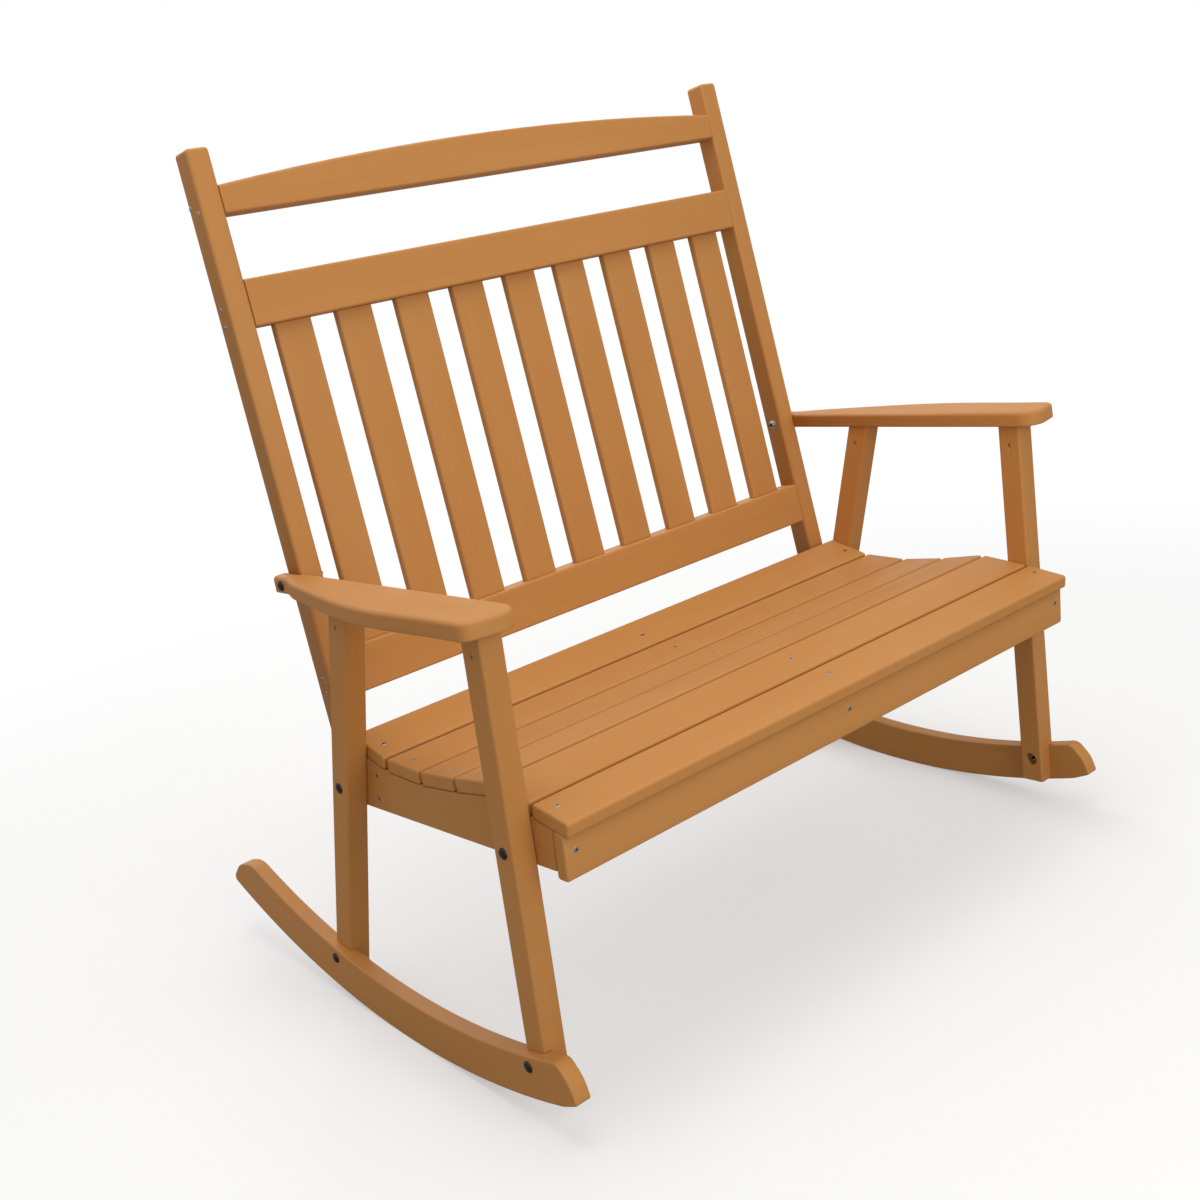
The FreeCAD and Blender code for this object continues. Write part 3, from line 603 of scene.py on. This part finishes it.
def screw_head():
    """One head about the z axis, with z = 0 on the board. The socket's radius at an angle t is
    its half width over the eighth root of cos t to the 8th plus sin t to the 8th."""
    t = np.linspace(0, 2 * np.pi, SCREW_COLUMNS, endpoint=False)
    socket = SOCKET_HALF / (np.cos(t) ** 8 + np.sin(t) ** 8) ** 0.125
    r = np.concatenate([np.tile([[row[0]] for row in SCREW_RIM], SCREW_COLUMNS),
                        np.array([[row[0]] for row in SOCKET_WALL]) * socket])
    z = np.array([row[1] for row in SCREW_RIM + SOCKET_WALL])
    rings = np.stack([r * np.cos(t), r * np.sin(t), np.broadcast_to(z[:, None], r.shape)], -1)
    in_socket = [0.0] * (len(SCREW_RIM) + 1) + [1.0] * (len(SOCKET_WALL) - 1)
    hollow = np.concatenate([np.repeat(in_socket, SCREW_COLUMNS), [0.0, 1.0]])
    return *with_poles(rings, [(0, 0, SCREW_FOOT), (0, 0, SOCKET_FLOOR)]), hollow


head_points, head_faces, head_hollow = screw_head()
screw_pieces = []


def add_screws(name, places, outward, scale=1.0):
    """A row of screws: each head is turned by a random angle about its own axis, and its x, y and
    z are laid along two directions in the board's face and the one out of it."""
    places = np.asarray(places, float)
    outward = np.broadcast_to(np.asarray(outward, float), places.shape)
    outward = outward / np.linalg.norm(outward, axis=1)[:, None]
    flat = np.cross(outward, (0.48, 0.36, 0.8))     # a direction in which no screw points
    flat /= np.linalg.norm(flat, axis=1)[:, None]
    other = np.cross(outward, flat)
    angle = turns.uniform(0, LARGEST_TURN, len(places))[:, None]
    first = flat * np.cos(angle) + other * np.sin(angle)
    second = np.cross(outward, first)
    axes = np.stack([first, second, outward], 1)
    points = places[:, None] + scale * head_points @ axes
    offset = np.arange(len(places)) * len(head_points)
    faces = [[corner + start for corner in face] for start in offset.tolist() for face in head_faces]
    piece = add_piece(name, points, faces)
    hollow = piece.data.attributes.new("hollow", "FLOAT", "POINT")
    hollow.data.foreach_set("value", np.tile(head_hollow, len(places)))
    screw_pieces.append(piece)


# %% Screws in the boards
SEAT_SCREW_X = (-534.0, 0.0, 534.0)
SEAT_SCREW_TO_REAR = (-9.5, 0.0, 0.0, 4.0, 2.0, 9.5)    # from the middle of each slat
APRON_SCREW_X = (-538, 0, 538)
POST_SCREWS = [(526.7, 21.6), (549.1, 23.8), (1108.8, 26.6), (1135.8, 25.3), (1282.4, 13.1),
               (1295.3, 35.7)]                          # height along the lean, and depth
RAIL_SCREWS = [(73.0, 406.0), (79.9, 367.0)]            # y and z
for number, (line, to_rear) in enumerate(zip(seat_line, SEAT_SCREW_TO_REAR), 1):
    corner, forward, under, width = line
    spot = corner + forward * (width / 2 - to_rear)
    add_screws(f"seat_screws_{number}", [(x, *spot) for x in SEAT_SCREW_X], (0, *-under))
add_screws("apron_screws", [(x, *APRON_POINT) for x in APRON_SCREW_X],
           (0, -APRON_RUN[1], APRON_RUN[0]))
for side, sign in SIDES:
    out = (sign, 0, 0)
    x = sign * POST_OUTER
    in_back = np.array([(x, depth, along) for along, depth in POST_SCREWS])
    add_screws("post_screws_" + side, back_to_drawing(in_back), out)
    add_screws("side_rail_screws_" + side, [(x, y, z) for y, z in RAIL_SCREWS], out)

# %% [markdown]
# The arms are held from below: a slanted pocket is drilled into each side of every leg's head,
# and a small screw runs up through it. Its head sits at the pocket's inner end, where only a
# glint of it shows.

# %% Screws in the leg pockets
POCKET_ANGLE = math.radians(26)
POCKET_BELOW = 38.0         # from the arm down to the pocket's mouth, along the leg
POCKET_REACH = 8.4          # from the mouth to the screw's head
POCKET_SCREW_SIZE = 0.55    # of the other screws' heads
FRONT_LEG_LEAN = 2.9
REAR_LEG_LEAN = 19.4
LEG_HEADS = (("front", (-312.48, 696.52), FRONT_LEG_LEAN), ("rear", (23.12, 691.13), REAR_LEG_LEAN))
for end, leg_head, lean in LEG_HEADS:
    mouth = np.array(leg_head) - leaning(-lean) * POCKET_BELOW
    for side, sign in SIDES:
        places, outward = [], []
        for face, away in ((LEG_OUTER, 1), (POST_OUTER, -1)):
            into = np.array([-away * math.sin(POCKET_ANGLE), 0, math.cos(POCKET_ANGLE)]) * (sign, 1, 1)
            places.append(np.array([sign * face, *mouth]) + into * POCKET_REACH)
            outward.append(-into)
        add_screws(f"arm_screws_{end}_{side}", places, outward, POCKET_SCREW_SIZE)
print("screws:", sum(len(row.data.vertices) for row in screw_pieces) // len(head_points))

# %% [markdown]
# ## Colours and shader nodes
#
# Colours are written as the hex values a paint card would give, and one function makes them
# linear for the shader. A material is a graph: adding a node, setting its numbers and linking its
# inputs are the same steps each time, so one function does them for every node.

# %% Colours and nodes
def linear(hex_colour):
    """Linear colour of an sRGB hex value: each channel c becomes c / 12.92 when it is dark, and
    otherwise (c + 0.055) / 1.055 to the power 2.4."""
    value = np.array([int(hex_colour[i:i + 2], 16) / 255 for i in (1, 3, 5)])
    out = np.where(value <= 0.04045, value / 12.92, ((value + 0.055) / 1.055) ** 2.4)
    return (*out.tolist(), 1.0)


def add_node(tree, kind, settings=None, inputs=None, **links):
    """Adds a node of a kind. settings are its own properties, inputs are values for its sockets
    by name or number, and each link joins another node's socket to the one of that name, or to
    the numbered one, as in n6."""
    node = tree.nodes.new(kind)
    for key, value in (settings or {}).items():
        setattr(node, key, value)
    for key, value in (inputs or {}).items():
        node.inputs[key].default_value = value
    for key, socket in links.items():
        tree.links.new(socket, node.inputs[int(key[1:]) if key[1:].isdigit() else key])
    return node


COLOUR_MIX = ("ShaderNodeMix", {"data_type": "RGBA"})   # 0 is its share, 6 and 7 are its colours
MULTIPLY = ("ShaderNodeMath", {"operation": "MULTIPLY"})
STRETCH = ("ShaderNodeMapping", {"vector_type": "TEXTURE"})     # divides by its scale
WHITE = (1, 1, 1, 1)


def empty_tree(owner):
    """The node tree of a material or a world, cleared."""
    owner.use_nodes = True
    owner.node_tree.nodes.clear()
    return owner.node_tree


def new_material(name, inputs):
    """A material, its tree and the principled shader that ends it, with some inputs set."""
    material = bpy.data.materials.new(name)
    tree = empty_tree(material)
    shader = add_node(tree, "ShaderNodeBsdfPrincipled", inputs=inputs)
    add_node(tree, "ShaderNodeOutputMaterial", Surface=shader.outputs["BSDF"])
    return material, tree, shader


print("mid grey as light:", round(linear("#808080")[0], 3))

# %% [markdown]
# ## The boards' plastic
#
# The boards are high-density polyethylene, coloured right through with an ochre-brown pigment
# and extruded as long planks. That gives an even, slightly waxy surface with no grain. Close by,
# it shows three traces of its making: soft clouds where the pigment is not quite even, faint
# lines drawn along the plank by the die, and a fine stipple that takes the gloss off. Rounded
# edges that hands, sleeves and shoes rub against turn paler and smoother.
#
# The lines have to run along each board, so every direction in which boards lie gets its own
# material from one function. A Mapping node set to Texture turns the pattern to the board's
# lean and divides by the size of a mark: long along the board, narrow across. On the rockers the
# lines follow the arc, so there the pattern is read at the distance from the arc's centre and at
# the length along the arc.

# %% Pattern coordinates
CLOUD = (0.42, 0.075)       # length along the board and width across it, in metres
DIE_LINE = (0.50, 0.0045)   # about 1 mm on the real board, drawn coarser so that it can show
STIPPLE = (0.0022, 0.0018)  # about 0.3 mm on the real board, coarser for the same reason


def along_board(tree, size, long_axis, lean):
    """Object coordinates turned upright by the board's lean and divided by a mark's size."""
    place = add_node(tree, "ShaderNodeTexCoord").outputs["Object"]
    scale = [size[1]] * 3
    scale["xyz".index(long_axis)] = size[0]
    return add_node(tree, *STRETCH, {"Rotation": (math.radians(lean), 0, 0), "Scale": scale},
                    Vector=place).outputs[0]


def along_arc(tree, size):
    """The place across the bench, along the rockers' arc and away from its centre, each divided
    by a mark's size. Along the arc is the angle from straight down times the radius."""
    place = add_node(tree, "ShaderNodeTexCoord").outputs["Object"]
    centred = add_node(tree, "ShaderNodeMapping", inputs={
        "Location": (0, -ALONG_FLOOR * MM, -ARC_RADIUS * MM)}, Vector=place).outputs[0]
    flat = add_node(tree, "ShaderNodeVectorMath", {"operation": "MULTIPLY"}, {1: (0, 1, 1)},
                    n0=centred).outputs[0]
    axes = add_node(tree, "ShaderNodeSeparateXYZ", Vector=centred).outputs
    down = add_node(tree, *MULTIPLY, {1: -1}, n0=axes["Z"]).outputs[0]
    angle = add_node(tree, "ShaderNodeMath", {"operation": "ARCTAN2"}, n0=axes["Y"], n1=down).outputs[0]
    length = add_node(tree, *MULTIPLY, {1: ARC_RADIUS * MM}, n0=angle).outputs[0]
    away = add_node(tree, "ShaderNodeVectorMath", {"operation": "LENGTH"}, n0=flat).outputs["Value"]
    joined = add_node(tree, "ShaderNodeCombineXYZ", X=axes["X"], Y=length, Z=away).outputs[0]
    return add_node(tree, *STRETCH, {"Scale": (size[1], size[0], size[1])}, Vector=joined).outputs[0]


# %% Polyethylene boards
BOARD_COLOUR = "#BD803F"
BOARD_PALE = "#C28646"
BOARD_DEEP = "#B87A3A"
BOARD_WORN = "#CA9458"
POLYETHYLENE = {"IOR": 1.5, "Specular IOR Level": 0.3}     # the stipple takes part of the gloss
STREAK_SHARE = 0.25         # how far the die lines show in the colour
WEAR_SHARE = 0.55
DULL, SMOOTH = 0.62, 0.52   # roughness in the darker and in the paler clouds
RUBBED = -0.10              # what wear adds to it
LINE_RELIEF = {"Strength": 0.06, "Distance": 0.0005}
STIPPLE_RELIEF = {"Strength": 0.16, "Distance": 0.0004}
EDGE_REACH = 0.005          # how far wear spreads from an edge, in metres
EDGE_ROUND = 0.0030         # of the planks' own long edges, in metres
EDGE_SAMPLES = {"samples": 4}
FLAT_FROM, EDGE_FROM = 0.998, 0.93


def worn_edges(tree, reach, full=EDGE_FROM):
    """1 on edges and 0 on flats. The Bevel node gives the normal averaged over a small reach,
    and where that differs from the surface's own normal there is an edge."""
    soft = add_node(tree, "ShaderNodeBevel", EDGE_SAMPLES, {"Radius": reach}).outputs[0]
    plain = add_node(tree, "ShaderNodeNewGeometry").outputs["Normal"]
    same = add_node(tree, "ShaderNodeVectorMath", {"operation": "DOT_PRODUCT"},
                    n0=soft, n1=plain).outputs["Value"]
    return add_node(tree, "ShaderNodeMapRange", inputs={"From Min": FLAT_FROM, "From Max": full},
                    Value=same).outputs[0]


def mark(tree, vector, detail, low, high):
    """Noise in a pattern's coordinates, spread so that it goes from 0 at low to 1 at high."""
    noise = add_node(tree, "ShaderNodeTexNoise", inputs={"Scale": 1, "Detail": detail}, Vector=vector)
    return add_node(tree, "ShaderNodeMapRange", inputs={"From Min": low, "From Max": high},
                    Value=noise.outputs["Fac"]).outputs[0]


def board_plastic(name, long_axis="x", lean=0, follow_arc=False):
    """Extruded, coloured polyethylene whose marks run along an axis leaned by some degrees."""
    material, tree, shader = new_material(name, POLYETHYLENE)
    cloud, line, stipple = [
        along_arc(tree, size) if follow_arc else along_board(tree, size, long_axis, lean)
        for size in (CLOUD, DIE_LINE, STIPPLE)]
    cloud = mark(tree, cloud, detail=2, low=0.3, high=0.7)
    line = mark(tree, line, detail=1, low=0.25, high=0.75)
    stipple = mark(tree, stipple, detail=2, low=0.2, high=0.8)
    worn = worn_edges(tree, EDGE_REACH)
    patchy = add_node(tree, *MULTIPLY, n0=worn, n1=cloud).outputs[0]
    some_wear = add_node(tree, *MULTIPLY, {1: WEAR_SHARE}, n0=patchy).outputs[0]
    deep, middle, pale = linear(BOARD_DEEP), linear(BOARD_COLOUR), linear(BOARD_PALE)
    even = add_node(tree, *COLOUR_MIX, {6: middle, 7: pale}, n0=cloud).outputs[2]
    streaked = add_node(tree, *COLOUR_MIX, {6: deep, 7: pale}, n0=line).outputs[2]
    body = add_node(tree, *COLOUR_MIX, {0: STREAK_SHARE}, n6=even, n7=streaked).outputs[2]
    colour = add_node(tree, *COLOUR_MIX, {7: linear(BOARD_WORN)}, n0=some_wear, n6=body).outputs[2]
    tree.links.new(colour, shader.inputs["Base Color"])
    dull = add_node(tree, "ShaderNodeMapRange", inputs={"To Min": DULL, "To Max": SMOOTH},
                    Value=cloud).outputs[0]
    rubbed = add_node(tree, "ShaderNodeMath", {"operation": "MULTIPLY_ADD"}, {1: RUBBED},
                      n0=worn, n2=dull).outputs[0]
    tree.links.new(rubbed, shader.inputs["Roughness"])
    rounded = add_node(tree, "ShaderNodeBevel", EDGE_SAMPLES, {"Radius": EDGE_ROUND}).outputs[0]
    drawn = add_node(tree, "ShaderNodeBump", inputs=LINE_RELIEF, Height=line, Normal=rounded).outputs[0]
    grained = add_node(tree, "ShaderNodeBump", inputs=STIPPLE_RELIEF,
                       Height=stipple, Normal=drawn).outputs[0]
    tree.links.new(grained, shader.inputs["Normal"])
    return material


ROLLED = math.degrees(ROLL)
across = board_plastic("polyethylene_boards_across")
lengthwise = board_plastic("polyethylene_boards_front_to_back", "y", -ROLLED)
upright = board_plastic("polyethylene_boards_of_the_back", "z", -BACK_LEAN - ROLLED)
front_leg = board_plastic("polyethylene_front_legs", "z", FRONT_LEG_LEAN - ROLLED)
rear_leg = board_plastic("polyethylene_rear_legs", "z", REAR_LEG_LEAN - ROLLED)
curved = board_plastic("polyethylene_rockers", follow_arc=True)

# %% [markdown]
# ## The metals
#
# The bolts are blackened steel: a thin dark oxide with a soft shine, rubbed to brown-grey where
# it was touched. The nuts and washers are zinc-plated, pale with a faint spangle, and the screws
# are stainless steel. All three are one recipe with different numbers: two tones in patches,
# edges worn to a third, a roughness that follows the patches, and a fine bump.

# %% Metals
METAL_EDGE_REACH = 0.0008
METAL_EDGE_FROM = 0.85
SHINE_SPREAD = 0.06         # of the roughness, both ways
GRIT_SHARE = 1 / 6          # of the patches' size
GRIT_HEIGHT = 0.0002        # in metres


def steel(name, tones, worn_tone, roughness, patch, bump, painted_socket_shade=None):
    """Steel in two tones of patches of a given size in metres, with worn edges. The painted socket
    shade colours the points whose stored hollow value is 1 near-black: painted shade in the socket."""
    material, tree, shader = new_material(name, {"Metallic": 1.0})
    place = add_node(tree, "ShaderNodeTexCoord").outputs["Object"]
    coarse, fine = [add_node(tree, *STRETCH, {"Scale": (size,) * 3}, Vector=place).outputs[0]
                    for size in (patch, patch * GRIT_SHARE)]
    patches = mark(tree, coarse, detail=3, low=0.3, high=0.7)
    grit = mark(tree, fine, detail=2, low=0.25, high=0.75)
    worn = worn_edges(tree, METAL_EDGE_REACH, METAL_EDGE_FROM)
    rubbed = add_node(tree, *MULTIPLY, n0=worn, n1=grit).outputs[0]
    toned = add_node(tree, *COLOUR_MIX, {6: linear(tones[0]), 7: linear(tones[1])}, n0=patches).outputs[2]
    colour = add_node(tree, *COLOUR_MIX, {7: linear(worn_tone)}, n0=rubbed, n6=toned).outputs[2]
    # painted shade: the socket's points are coloured near-black where only shade would fall
    if painted_socket_shade:
        hollow = add_node(tree, "ShaderNodeAttribute", {"attribute_name": "hollow"}).outputs["Fac"]
        colour = add_node(tree, *COLOUR_MIX, {7: linear(painted_socket_shade)}, n0=hollow, n6=colour).outputs[2]
    tree.links.new(colour, shader.inputs["Base Color"])
    shine = add_node(tree, "ShaderNodeMapRange", inputs={
        "To Min": roughness + SHINE_SPREAD, "To Max": roughness - SHINE_SPREAD}, Value=patches).outputs[0]
    tree.links.new(shine, shader.inputs["Roughness"])
    surface = add_node(tree, "ShaderNodeBump", inputs={"Strength": bump, "Distance": GRIT_HEIGHT},
                       Height=grit).outputs[0]
    tree.links.new(surface, shader.inputs["Normal"])
    return material


blackened = steel("blackened_bolt_steel", ("#2B2C2F", "#3A3C3F"), "#6A6660",
                  roughness=0.38, patch=0.004, bump=0.25)
plated = steel("zinc_plated_nut_steel", ("#A9ABAD", "#C2C4C6"), "#D6D6D2",
               roughness=0.30, patch=0.003, bump=0.15)
# the screws' sockets get painted shade, a near-black colour in place of their shadow
stainless = steel("stainless_screw_steel", ("#8E8F8E", "#A6A7A6"), "#BEBEBB",
                  roughness=0.32, patch=0.002, bump=0.15, painted_socket_shade="#141416")

# %% [markdown]
# ## Which board gets which finish
#
# Each board takes the plastic whose marks run its own way, and a finer piece takes the finish of
# the node it stands for. The back slats, posts and rails lean together, but only the rails run
# across.

# %% Dress every piece
FINISHES = (            # the first word that a node's name holds decides
    ("bolt", blackened), ("nut", plated), ("rocker", curved), ("leg_front", front_leg),
    ("leg_rear", rear_leg), ("seat_slat", across), ("back_rail", across), ("stretcher", across),
    ("apron", across), ("side_rail", lengthwise), ("centre_support", lengthwise),
    ("arm", lengthwise), ("back_slat", upright), ("post", upright),
)
for node, piece in (*nodes.items(), *finer_pieces.items()):
    piece.data.materials.clear()
    piece.data.materials.append(next(finish for word, finish in FINISHES if word in node))
for piece in screw_pieces:
    piece.data.materials.append(stainless)
print("dressed:", len(nodes), "nodes and", len(finer_pieces) + len(screw_pieces), "new pieces")

# %% [markdown]
# ## The camera
#
# The photograph was taken from the bench's left front, nearly as high as its back, with the
# camera leaned to one side. Its place and directions were worked out from the straight edges of
# the bench. The picture was cut off-centre, which is what the small shift says.

# %% Camera
PHOTO_WIDTH = 1200          # this and the next three in the photograph's pixels
FOCAL_LENGTH = 1503.153
CUT_RIGHT = 25.0
CUT_UP = -104.267
SENSOR_WIDTH = 36.0
CAMERA_PLACE = (-1.57610, -1.92362, 1.27044)

view_run = Vector((0.59550, 0.77241, -0.22082)).normalized()
view_right = Vector((0.76268, -0.62993, -0.14667))
view_right = (view_right - view_right.dot(view_run) * view_run).normalized()
camera_data = bpy.data.cameras.new("photo_camera")
camera_data.sensor_width = SENSOR_WIDTH
camera_data.lens = SENSOR_WIDTH * FOCAL_LENGTH / PHOTO_WIDTH
camera_data.shift_x = CUT_RIGHT / PHOTO_WIDTH
camera_data.shift_y = CUT_UP / PHOTO_WIDTH
camera = add_object("photo_camera", camera_data)
turn = Matrix((view_right, view_right.cross(view_run), -view_run)).transposed().to_4x4()
camera.matrix_world = Matrix.Translation(CAMERA_PLACE) @ turn
bpy.context.scene.camera = camera

# %% [markdown]
# ## The studio
#
# Seen by the camera the floor is nearly white and keeps the bench's soft shadow, and from some
# way off it fades into pure white, so that no horizon shows. For the light that bounces it is a
# mid grey, because a white floor would fill in every shadow under the seat. The world does the
# same: soft grey light for the boards, white for the camera and for what the bolts reflect.

# %% Floor and world
FLOOR_HALF = 30.0           # in metres, as the next two
FADE_START = 1.3
FADE_END = 2.6
FLOOR_SEEN = "#F7F7F6"
FLOOR_LIFT = 0.4            # share of plain white that keeps the shadow pale
FLOOR_BOUNCE = "#A8A8A8"
WORLD_LIGHT = 0.61


def white_seen_by(tree, kinds):
    """1 for the kinds of ray that should meet plain white, 0 for the others."""
    path = add_node(tree, "ShaderNodeLightPath").outputs
    share = path[kinds[0]]
    for kind in kinds[1:]:
        share = add_node(tree, "ShaderNodeMath", {"operation": "MAXIMUM"},
                         n0=share, n1=path[kind]).outputs[0]
    return share


floor_mesh = bpy.data.meshes.new("studio_floor")
floor_corners = FLOOR_HALF * np.array([(-1, -1, 0), (1, -1, 0), (1, 1, 0), (-1, 1, 0)])
floor_mesh.from_pydata(floor_corners.tolist(), [], [(0, 1, 2, 3)])
floor = add_object("studio_floor", floor_mesh)
floor_paint = bpy.data.materials.new("matt_studio_floor_paint")
tree = empty_tree(floor_paint)
seen, bounce = [add_node(tree, "ShaderNodeBsdfDiffuse", inputs={"Color": linear(tone)}).outputs[0]
                for tone in (FLOOR_SEEN, FLOOR_BOUNCE)]
white = add_node(tree, "ShaderNodeEmission", inputs={"Color": WHITE, "Strength": 1.0}).outputs[0]
place = add_node(tree, "ShaderNodeTexCoord").outputs["Object"]
away = add_node(tree, "ShaderNodeVectorMath", {"operation": "LENGTH"}, n0=place).outputs["Value"]
fade = add_node(tree, "ShaderNodeMapRange", {"interpolation_type": "SMOOTHSTEP"},
                {"From Min": FADE_START, "From Max": FADE_END}, Value=away).outputs[0]
lifted = add_node(tree, "ShaderNodeMixShader", inputs={0: FLOOR_LIFT}, n1=seen, n2=white).outputs[0]
near = add_node(tree, "ShaderNodeMixShader", n0=fade, n1=lifted, n2=white).outputs[0]
seen_directly = white_seen_by(tree, ["Is Camera Ray"])
paint = add_node(tree, "ShaderNodeMixShader", n0=seen_directly, n1=bounce, n2=near).outputs[0]
add_node(tree, "ShaderNodeOutputMaterial", Surface=paint)
floor_mesh.materials.append(floor_paint)

world = bpy.data.worlds.new("studio")
bpy.context.scene.world = world
tree = empty_tree(world)
soft, white = [
    add_node(tree, "ShaderNodeBackground", inputs={"Color": WHITE, "Strength": power}).outputs[0]
    for power in (WORLD_LIGHT, 1.0)]
share = white_seen_by(tree, ["Is Camera Ray", "Is Glossy Ray", "Is Transmission Ray"])
both = add_node(tree, "ShaderNodeMixShader", n0=share, n1=soft, n2=white).outputs[0]
add_node(tree, "ShaderNodeOutputWorld", Surface=both)

# %% [markdown]
# ## The lamps
#
# In the photograph the tops are a little brighter than the front faces, and the front faces
# lean back into the light while the legs' faces, which lean the other way, are darker. So the
# strongest lamp hangs above, and a lower one in front evens out the back. Both stand between the
# two sides: the left leg's outer face gets none of them, while the inner faces on the right are
# lit. A weaker lamp behind keeps the back readable from other angles.

# %% Lamps
def soft_lamp(name, place, aim, size, power):
    """A square lamp of a size in metres and a power in watts, turned from its place to its aim."""
    data = bpy.data.lights.new(name, "AREA")
    data.size = size
    data.energy = power
    lamp = add_object(name, data)
    facing = (Vector(aim) - Vector(place)).to_track_quat("-Z", "Y").to_matrix().to_4x4()
    lamp.matrix_world = Matrix.Translation(place) @ facing
    lamp.visible_camera = False


SEAT_BACK = (0, 0, 0.7)
soft_lamp("front_lamp", (-0.40, -3.40, 1.50), aim=SEAT_BACK, size=1.8, power=36.0)
soft_lamp("overhead_lamp", (-0.35, -0.30, 3.60), aim=(-0.1, 0, 0.5), size=2.0, power=40.0)
soft_lamp("rear_lamp", (0.90, 2.60, 2.20), aim=SEAT_BACK, size=1.8, power=22.0)

bpy.context.scene.view_settings.view_transform = "Standard"
